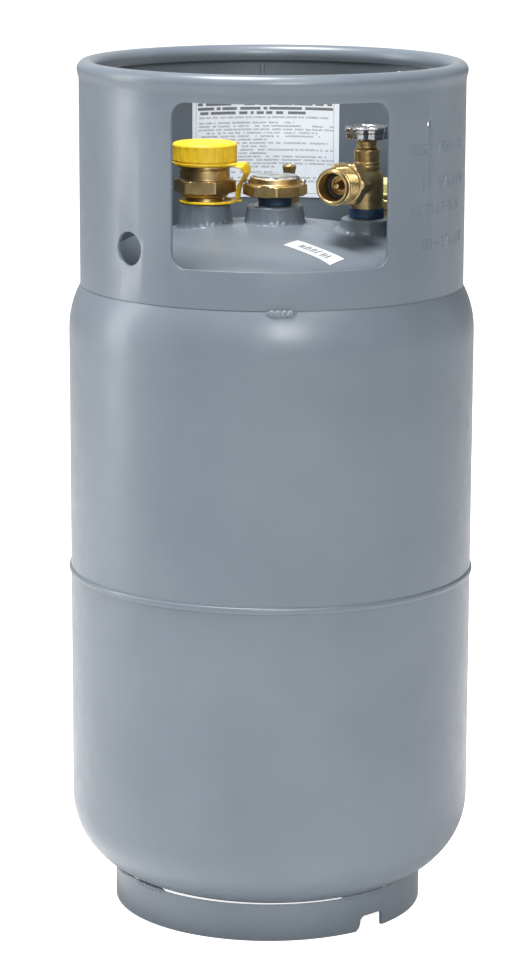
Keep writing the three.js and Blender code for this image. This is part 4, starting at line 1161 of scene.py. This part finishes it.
def handwheel():
    """A cast, plated wheel: six lobes, a raised rim round a dished face, and a hollow under it."""
    low, high = bottom("handwheel"), top("handwheel")
    lobes = 6

    def lobed(r, z, angle):
        if r < 11.5:
            return r, z
        share = smooth_step(11.5, 15, r)
        dip = (0.5 - 0.5 * math.cos(lobes * (angle - math.pi / 2))) ** 2.2
        return r - 1.7 * share * dip, z
    profile = [(3.3, low + 0.2, 0.3), (5.4, low, 0.5), (5.6, low + 4.2, 0.8), (11.6, low + 4.4, 0.9),
               (12.2, low + 0.3, 0.5), (15.4, low + 0.1, 0.6), (16.2, low + 1.1, 0.7), (16.4, low + 4.6, 0.5),
               (17.2, low + 6.4, 0.6), (17.3, high - 1.4, 0.6), (16.2, high, 0.7), (13.4, high - 0.1, 0.6),
               (11.6, high - 1.5, 0.7), (9.6, high - 1.9, 0.6), (8.5, high - 2.6, 0.4), (8.1, 612, 0.5), (5.8, 611.8, 0.4),
               (5.6, 613, 0.2), (3.3, 613, 0.2)]
    mesh = revolve("handwheel_skin", profile, 240, lobed, closed=True)
    piece("handwheel_skin", mesh, CHROME, "wheel", "handwheel", 50, place=SERVICE)
    nut = revolve("handwheel_nut_skin", [(3.3, 613.3, 0.1), (5.4, 613.3, 0.3), (5.5, 614, 0.3), (5.5, 615.7, 0.3),
                                         (4.7, 616.4, 0.3), (3.3, 616.4, 0.2)], 120, flats_shape(6, 5.6, 613, 616.5),
                  closed=True)
    piece("handwheel_nut_skin", nut, STEEL, "wheel", "handwheel_nut", 30, place=SERVICE)
    low, high = 606.8, 615
    stem = revolve("service_stem_skin", [(0, 576.4), (2.7, 576.4), (3, 576.8, 0.2), (3, 606.7)]
                   + thread_rows(3, low, high, 1.1, 8) + [(2.5, 615.6, 0.2), (0, 615.6)], 48,
                   thread_shape(3, 0.35, low, high, 1.1))
    piece("service_stem_skin", stem, TURNED_BRASS, "wheel", "service_stem", place=SERVICE)


service_body()
coupler()
bonnet()
handwheel()


# ---- relief valve and bleeder -------------------------------------------------------------------

def relief_valve():
    profile = [(5, 518), (10.3, 518, 0.4), (10.3, 545), (12.4, 545.6, 0.3), (15.8, 546.9, 0.5), (15.8, 552.8, 0.6),
               (13, 554, 0.4), (13, 562.4, 0.4), (12.4, 563, 0.2), (7.6, 563, 0.3), (7.6, 530), (5, 530)]
    mesh = revolve("relief_valve_skin", profile, 240, flats_shape(6, 16, 545.5, 554.1), closed=True)
    piece("relief_valve_skin", mesh, CAST_BRASS, replaces="relief_valve_body", sharp=32,
          place=RELIEF, turn=10)
    cap = revolve("relief_cap_skin", [(13.3, 563.2), (13.3, 557, 0.2), (14.6, 557, 0.3), (14.6, 558.4, 0.2),
                                      (14.2, 558.8, 0.3), (14.2, 566, 0.9), (13.2, 568.1, 0.9), (9.4, 568.8, 0.8),
                                      (8.8, 568.2, 0.3), (0, 568.6), (0, 563.3), (13.3, 563.3)], 96)
    piece("relief_cap_skin", cap, PALE_YELLOW, "rain_cap", "relief_cap", 40, place=RELIEF)
    base = Vector((RELIEF[0], RELIEF[1], 0))
    wire = coil("relief_spring_wire", 4.8, 0.8, 534.7, 556.3, 6)
    wire.transform(Matrix.Translation(base * MM))
    bend(wire, "relief_spring_wire", "relief_spring")


def fill_spring():
    base = Vector((FILL[0], FILL[1], 0))
    wire = coil("fill_spring_wire", 7.4, 0.8, 556.3, 584.1, 6)
    wire.transform(Matrix.Translation(base * MM))
    bend(wire, "fill_spring_wire", "fill_poppet_spring")


def bleeder():
    profile = [(2.2, 531), (6, 531, 0.3), (6, 548.6), (7, 549, 0.2), (8.9, 549.8, 0.4), (8.9, 555.3, 0.4),
               (6.6, 556, 0.3), (5.6, 556.4, 0.3), (5.6, 559.4, 0.2), (5.1, 559.8, 0.2), (5.1, 560.8, 0.2),
               (5.6, 561.2, 0.2), (5.6, 567, 0.3), (4.8, 568, 0.3), (2.2, 568, 0.2)]
    mesh = revolve("bleeder_body_skin", profile, 240, flats_shape(6, 9, 548.9, 556.1), closed=True)
    piece("bleeder_body_skin", mesh, TURNED_BRASS, replaces="bleeder_body", sharp=32, place=BLEEDER)
    knurls = 30

    def knurled(r, z, angle):
        if r < 4 or z < 571.6 or z > 577.8:
            return r, z
        return r - 0.16 + 0.16 * math.cos(angle * knurls), z
    knob = ([(0, 546), (1.8, 549), (1.8, 570.8), (4.2, 571.2, 0.3)]
            + [(4.5 + 1.1 * (z - 571.6) / 5.6, z) for z in spread(571.8, 577.2, 8)]
            + [(5.2, 577.9, 0.2), (4.6, 578.3, 0.2), (2.2, 578.2, 0.2), (1.8, 577.6, 0.2), (0, 577.5)])
    mesh = revolve("bleeder_screw_skin", knob, 240, knurled)
    piece("bleeder_screw_skin", mesh, TURNED_BRASS, "bleeder", "bleeder_screw", 40, place=BLEEDER)


relief_valve()
fill_spring()
bleeder()


# ---- labels and stamped marks ---------------------------------------------------------------

class Print(Finish):
    """A printed label. Its picture is worked out from the mesh's UV map, in millimetres."""

    def __init__(self, name, **values):
        super().__init__(name, **values)
        uv = self.tree.nodes.new("ShaderNodeUVMap")
        uv.uv_map = "print"
        split = self.tree.nodes.new("ShaderNodeSeparateXYZ")
        self.link(uv.outputs["UV"], split.inputs[0])
        self.across, self.up = split.outputs[0], split.outputs[1]

    def math(self, operation, *values):
        node = self.tree.nodes.new("ShaderNodeMath")
        node.operation = operation
        for value, socket in zip(values, node.inputs):
            if isinstance(value, bpy.types.NodeSocket):
                self.link(value, socket)
            else:
                socket.default_value = value
        return node.outputs[0]

    def between(self, value, low, high):
        """1 where the value lies between the two, else 0."""
        return self.math("COMPARE", value, (low + high) / 2, (high - low) / 2)

    def both(self, *masks):
        result = masks[0]
        for mask in masks[1:]:
            result = self.math("MULTIPLY", result, mask)
        return result

    def either(self, *masks):
        result = masks[0]
        for mask in masks[1:]:
            result = self.math("MAXIMUM", result, mask)
        return result

    def greeking(self, cell, seed, density):
        """Letter-like specks: noise cut into cells of a width and a height."""
        combine = self.tree.nodes.new("ShaderNodeCombineXYZ")
        self.link(self.math("DIVIDE", self.across, cell[0]), combine.inputs[0])
        self.link(self.math("DIVIDE", self.up, cell[1]), combine.inputs[1])
        combine.inputs[2].default_value = seed
        node = self.tree.nodes.new("ShaderNodeTexNoise")
        node.inputs["Scale"].default_value = 1.0
        node.inputs["Detail"].default_value = 2.0
        node.inputs["Roughness"].default_value = 0.7
        self.link(combine.outputs[0], node.inputs["Vector"])
        return self.math("GREATER_THAN", node.outputs["Fac"], 1 - density)

    def text_line(self, left, right, low, letter, seed, density=0.5):
        """One row of meaningless print, broken into words."""
        row = self.both(self.between(self.across, left, right), self.between(self.up, low, low + letter))
        combine = self.tree.nodes.new("ShaderNodeCombineXYZ")
        self.link(self.math("DIVIDE", self.across, letter * 2.1), combine.inputs[0])
        combine.inputs[1].default_value = seed * 3.7
        gaps = self.tree.nodes.new("ShaderNodeTexNoise")
        gaps.inputs["Scale"].default_value = 1.0
        gaps.inputs["Detail"].default_value = 0.0
        self.link(combine.outputs[0], gaps.inputs["Vector"])
        words = self.math("GREATER_THAN", gaps.outputs["Fac"], 0.40)
        return self.both(row, words, self.greeking((letter * 0.28, letter * 0.5), seed, density))


def printed_sheet(name, node, surface, width, height, columns, rows, finish_made, thickness=0.3):
    """A thin label on a surface. surface(across, up, depth) gives a point, in millimetres."""
    bm = bmesh.new()
    uv = bm.loops.layers.uv.new("print")
    grids = []
    for depth in (0.0, thickness):
        grids.append([[bm.verts.new(surface(a, b, depth)) for a in spread(-width / 2, width / 2, columns)]
                      for b in spread(0, height, rows)])
    back, front = grids
    where = {}
    for grid in grids:
        for j, row in enumerate(grid):
            for i, vert in enumerate(row):
                where[vert] = (width * (i / columns - 0.5), height * j / rows)
    for j in range(rows):
        for i in range(columns):
            bm.faces.new((front[j][i], front[j][i + 1], front[j + 1][i + 1], front[j + 1][i]))
            bm.faces.new((back[j][i], back[j + 1][i], back[j + 1][i + 1], back[j][i + 1]))
    for i in range(columns):
        bm.faces.new((back[0][i], back[0][i + 1], front[0][i + 1], front[0][i]))
        bm.faces.new((back[rows][i + 1], back[rows][i], front[rows][i], front[rows][i + 1]))
    for j in range(rows):
        bm.faces.new((back[j + 1][0], back[j][0], front[j][0], front[j + 1][0]))
        bm.faces.new((back[j][columns], back[j + 1][columns], front[j + 1][columns], front[j][columns]))
    for face in bm.faces:
        for loop in face.loops:
            loop[uv].uv = where[loop.vert]
    piece(name, bm_to_mesh(name, bm), finish_made, replaces=node, sharp=60)


def instruction_print():
    """Three bold rows, then blocks of small rows, inside a thin border."""
    f = Print("instruction_print", Metallic=0.0, Roughness=0.35)
    f.shader.inputs["Coat Weight"].default_value = 0.3
    half, tall = 61.0, 97.0
    rows = []
    for index, ending in enumerate((24, 6, 5, 28)):
        rows.append(f.text_line(-half + 4.6, half - ending, tall - 19 - 3.6 * index, 2.3, index + 1, 0.68))
    chance = random.Random(4)
    up = tall - 33.0
    seed = 10
    while up > 6:
        ending = half - chance.choice((4, 9, 16, 38, 52, 60))
        start = -half + (5 if chance.random() < 0.6 else 12)
        rows.append(f.text_line(start, ending, up, 1.45, seed, 0.5))
        up -= chance.choice((2.75, 2.75, 2.75, 4.4))
        seed += 1
    line = 0.28
    border = f.either(
        f.both(f.between(f.across, -half + 2.8, -half + 2.8 + line), f.between(f.up, 3, tall - 3)),
        f.both(f.between(f.across, half - 4.2 - line, half - 4.2), f.between(f.up, 3, tall - 3)),
        f.both(f.between(f.up, 3, 3 + line), f.between(f.across, -half + 2.8, half - 4.2)),
        f.both(f.between(f.up, tall - 3 - line, tall - 3), f.between(f.across, -half + 2.8, half - 4.2)))
    ink = f.math("MULTIPLY", f.either(border, *rows), 0.82)
    f.colour(f.mix(ink, f.ramp(f.noise(40, 3), 0.3, 0.7, srgb(230, 236, 243), srgb(237, 242, 248)), srgb(38, 42, 52)))
    f.bump((f.noise(900, 2), 0.01, 0.3))
    return f.material


def dome_print():
    """A small label with one bold word-like row that means nothing."""
    f = Print("dome_print", Metallic=0.0, Roughness=0.4)
    strokes = []
    chance = random.Random(9)
    low, high, thick = 4.4, 12.0, 1.3
    x = -13.0
    for _ in range(6):
        strokes.append(f.both(f.between(f.across, x, x + thick), f.between(f.up, low, high)))
        if chance.random() < 0.7:
            bar = chance.choice((low, 7.6, high - thick))
            strokes.append(f.both(f.between(f.across, x, x + 3.6), f.between(f.up, bar, bar + thick)))
        if chance.random() < 0.5:
            strokes.append(f.both(f.between(f.across, x + 2.4, x + 3.6), f.between(f.up, low + 0.6, high - 0.6)))
        x += 5.3
    ink = f.math("MULTIPLY", f.either(*strokes), 0.95)
    f.colour(f.mix(ink, f.ramp(f.noise(60, 3), 0.3, 0.7, srgb(178, 181, 186), srgb(188, 191, 195)), srgb(36, 38, 42)))
    f.bump((f.noise(900, 2), 0.01, 0.3))
    return f.material


def labels():
    low, high = bottom("instruction_label"), top("instruction_label")
    inner = COLLAR_RADIUS - WALL
    width = 2 * math.radians(24.2) * inner

    def inside_collar(across, up, depth):
        # Seen from the front, the label's left edge is at the larger azimuth.
        return polar(inner - 0.35 - depth, 179.6 - math.degrees(across / inner), low + up)
    printed_sheet("instruction_label_skin", "instruction_label", inside_collar, width, high - low, 48, 12,
                  instruction_print())

    length, breadth = 46, 16.5
    turn = math.radians(-44)
    middle = Vector((27, -90))

    def on_dome(across, up, depth):
        u = across
        v = up - breadth / 2
        x = middle.x + u * math.cos(turn) - v * math.sin(turn)
        y = middle.y + u * math.sin(turn) + v * math.cos(turn)
        return Vector((x, y, dome_z(x, y, 0.15 + depth)))
    printed_sheet("dome_label_skin", "dome_label", on_dome, length, breadth, 24, 10, dome_print())


GLYPHS = {
    # Strokes on a grid two wide and four high. They only look like letters and figures.
    "a": (((0, 0), (0, 4)), ((0, 4), (2, 4)), ((2, 4), (2, 0))),
    "b": (((0, 0), (2, 4)), ((0, 2), (2, 2))),
    "c": (((2, 0), (0, 0)), ((0, 0), (0, 4)), ((0, 4), (2, 4)), ((0, 2), (1.4, 2))),
    "d": (((0, 0), (0, 4)), ((0, 4), (2, 2)), ((2, 2), (0, 0))),
    "e": (((1, 0), (1, 4)), ((0, 4), (2, 4))),
    "f": (((0, 4), (2, 4)), ((2, 4), (0.6, 0))),
    "g": (((0, 0), (2, 0)), ((0, 4), (2, 4)), ((0, 0), (0, 4)), ((2, 0), (2, 2)), ((2, 2), (1, 2))),
    "h": (((0, 2), (2, 2)),),
}


def stroke(bm, start, end, place, width=0.75, proud=0.32):
    """One raised stroke of a mark: a low ridge with sloping sides, laid on the collar."""
    along = (Vector(end) - Vector(start)).normalized()
    side = Vector((-along.y, along.x))
    tip = along * width * 0.5
    ring = []
    for out, lift in ((0.5 * width, -0.05), (0.22 * width, proud)):
        corners = [Vector(start) - tip + side * out, Vector(start) - tip - side * out,
                   Vector(end) + tip - side * out, Vector(end) + tip + side * out]
        ring.append([bm.verts.new(place(c.x, c.y, lift)) for c in corners])
    low, high = ring
    for i in range(4):
        j = (i + 1) % 4
        bm.faces.new((low[i], low[j], high[j], high[i]))
    bm.faces.new(high)
    bm.faces.new(tuple(reversed(low)))


def stamped_marks():
    """Rows of marks pushed out through the collar beside the window."""
    bm = bmesh.new()
    chance = random.Random(21)
    size = 1.75
    rows = ((604, 41.5, "acg h fag c bed"), (578, 46.5, "ce hdfg a cag"), (559, 41.5, "dg fa cehab g"),
            (533, 47, "ga h cfd b ae"))
    for z, azimuth, text in rows:
        offset = 0.0
        for letter in text:
            sag = 0.5 * (chance.random() - 0.5)
            if letter == " ":
                offset += 3.4
                continue

            def place(x, y, lift, offset=offset, sag=sag, z=z, azimuth=azimuth):
                angle = azimuth + math.degrees((offset + x) / COLLAR_RADIUS)
                return polar(COLLAR_RADIUS + lift, angle, z + y + sag)
            for start, end in GLYPHS[letter]:
                stroke(bm, Vector(start) * size, Vector(end) * size, place)
            offset += 2 * size + 2.6
    piece("stamped_marks", bm_to_mesh("stamped_marks", bm), PAINT, sharp=20)


def collar_seam():
    """The weld where the collar's two ends meet at the back."""
    low = UPPER_HEAD[0] + head_height(UPPER_HEAD, COLLAR_RADIUS) + 1.5
    label_low, label_high = bottom("instruction_label"), top("instruction_label")
    inside = COLLAR_RADIUS - WALL + 0.1
    for name, radius, start, end in (("outside", COLLAR_RADIUS - 0.1, low, NECK_Z + 1),
                                     ("inside_low", inside, low, label_low - 1),
                                     ("inside_high", inside, label_high + 1, NECK_Z + 1)):
        route = [polar(radius, 180.6, z) for z in spread(start, end, max(8, int(end - start) * 2))]

        def section(t, length=end - start):
            wave = 1 + 0.12 * math.sin(t * length * 2.4)
            return oval(2.2 * wave, 0.75 * wave, 12)
        piece(f"collar_seam_{name}", swept(f"collar_seam_{name}", route, section, up=Vector((0, 1, 0))), PAINT)


labels()
stamped_marks()
collar_seam()


# ---- camera, light and stage ------------------------------------------------------------

def camera():
    data = bpy.data.cameras.new("camera")
    data.lens = 120.72
    data.sensor_width = 36
    data.clip_end = 100
    obj = bpy.data.objects.new("camera", data)
    obj.location = (-0.1176, -2.5068, 0.8715)
    turn = Matrix.Rotation(math.radians(-2.5), 4, "Z") @ Matrix.Rotation(math.radians(77.85), 4, "X")
    obj.rotation_euler = (turn @ Matrix.Rotation(math.radians(0.2), 4, "Z")).to_euler()
    bpy.context.scene.collection.objects.link(obj)
    bpy.context.scene.camera = obj


def softbox(name, place, aim, width, height, power):
    data = bpy.data.lights.new(name, "AREA")
    data.shape = "RECTANGLE"
    data.size = width
    data.size_y = height
    data.energy = power
    obj = bpy.data.objects.new(name, data)
    obj.location = place
    obj.rotation_euler = (Vector(aim) - Vector(place)).to_track_quat("-Z", "Y").to_euler()
    obj.visible_camera = False
    bpy.context.scene.collection.objects.link(obj)


AMBIENT = 0.3
FLOOR_GLOW = 0.15


def stage():
    scene = bpy.context.scene
    scene.view_settings.view_transform = "Standard"
    scene.view_settings.look = "None"
    world = bpy.data.worlds.new("studio")
    world.use_nodes = True
    scene.world = world
    world.node_tree.nodes["Background"].inputs["Color"].default_value = (0.985, 0.99, 1.0, 1)
    # The camera sees a white backdrop, and the object is lit by a dimmer one.
    tree = world.node_tree
    path = tree.nodes.new("ShaderNodeLightPath")
    strength = tree.nodes.new("ShaderNodeMath")
    strength.operation = "MULTIPLY_ADD"
    strength.inputs[1].default_value = 1 - AMBIENT
    strength.inputs[2].default_value = AMBIENT
    tree.links.new(path.outputs["Is Camera Ray"], strength.inputs[0])
    tree.links.new(strength.outputs[0], tree.nodes["Background"].inputs["Strength"])
    half = 30
    mesh = bpy.data.meshes.new("floor")
    mesh.from_pydata([(-half, -half, 0), (half, -half, 0), (half, half, 0), (-half, half, 0)], [], [(0, 1, 2, 3)])
    floor = bpy.data.objects.new("floor", mesh)
    floor.location.z = -0.0004
    f = Finish("floor", Metallic=0.0, Roughness=0.9)
    f.shader.inputs["Specular IOR Level"].default_value = 0.1
    f.shader.inputs["Emission Color"].default_value = (1, 1, 1, 1)
    # The floor, too, is white for the camera and dimmer as a source of light.
    seen = f.tree.nodes.new("ShaderNodeLightPath")
    glow = f.tree.nodes.new("ShaderNodeMath")
    glow.operation = "MULTIPLY_ADD"
    glow.inputs[1].default_value = 1 - FLOOR_GLOW
    glow.inputs[2].default_value = FLOOR_GLOW
    f.link(seen.outputs["Is Camera Ray"], glow.inputs[0])
    f.link(glow.outputs[0], f.shader.inputs["Emission Strength"])
    f.colour(f.ramp(f.noise(2, 2), 0.3, 0.7, (0.86, 0.86, 0.865, 1), (0.88, 0.88, 0.885, 1)))
    mesh.materials.append(f.material)
    scene.collection.objects.link(floor)
    softbox("left_softbox", (-2.5, 0.3, 0.9), (0, 0, 0.35), 0.7, 2.4, 36)
    softbox("right_softbox", (2.5, 1.0, 0.9), (0, 0, 0.35), 1.0, 2.4, 2.5)
    softbox("top_softbox", (-0.5, -0.25, 3.0), (0, 0, 0.5), 0.8, 0.8, 120)
    softbox("front_softbox", (0.9, -1.6, 2.6), (0, 0, 0.6), 1.2, 1.2, 14)
    softbox("key_softbox", (0.3, -2.9, 1.8), (0, 0, 0.6), 0.9, 0.9, 49)
    softbox("back_softbox", (0.0, 2.6, 1.6), (0, 0, 0.4), 3.0, 2.0, 8)


camera()
stage()


# ---- carried-over CAD nodes ---------------------------------------------------------------

NODE_FINISH = {
    "painted_steel": PAINT,
    "forged_brass": CAST_BRASS,
    "bright_steel": STEEL,
    "chrome_zinc": CHROME,
    "aluminium_tube": ALUMINIUM,
    "yellow_plastic": YELLOW,
    "pale_yellow_plastic": PALE_YELLOW,
    "white_plastic": WHITE_PLASTIC,
    "black_plastic": BLACK_PLASTIC,
    "blue_sealant": SEALANT,
    "black_rubber": RUBBER,
    "clear_lens": LENS,
    "white_label": WHITE_PLASTIC,
    "float_foam": FOAM,
}


def dress_nodes():
    """Every CAD node that stays visible gets its material slot's finish."""
    for part in frame["record"]["subparts"]:
        obj = frame["nodes"][part["node"]]
        obj.data.materials.clear()
        obj.data.materials.append(NODE_FINISH[part["material_slot"]])


dress_nodes()
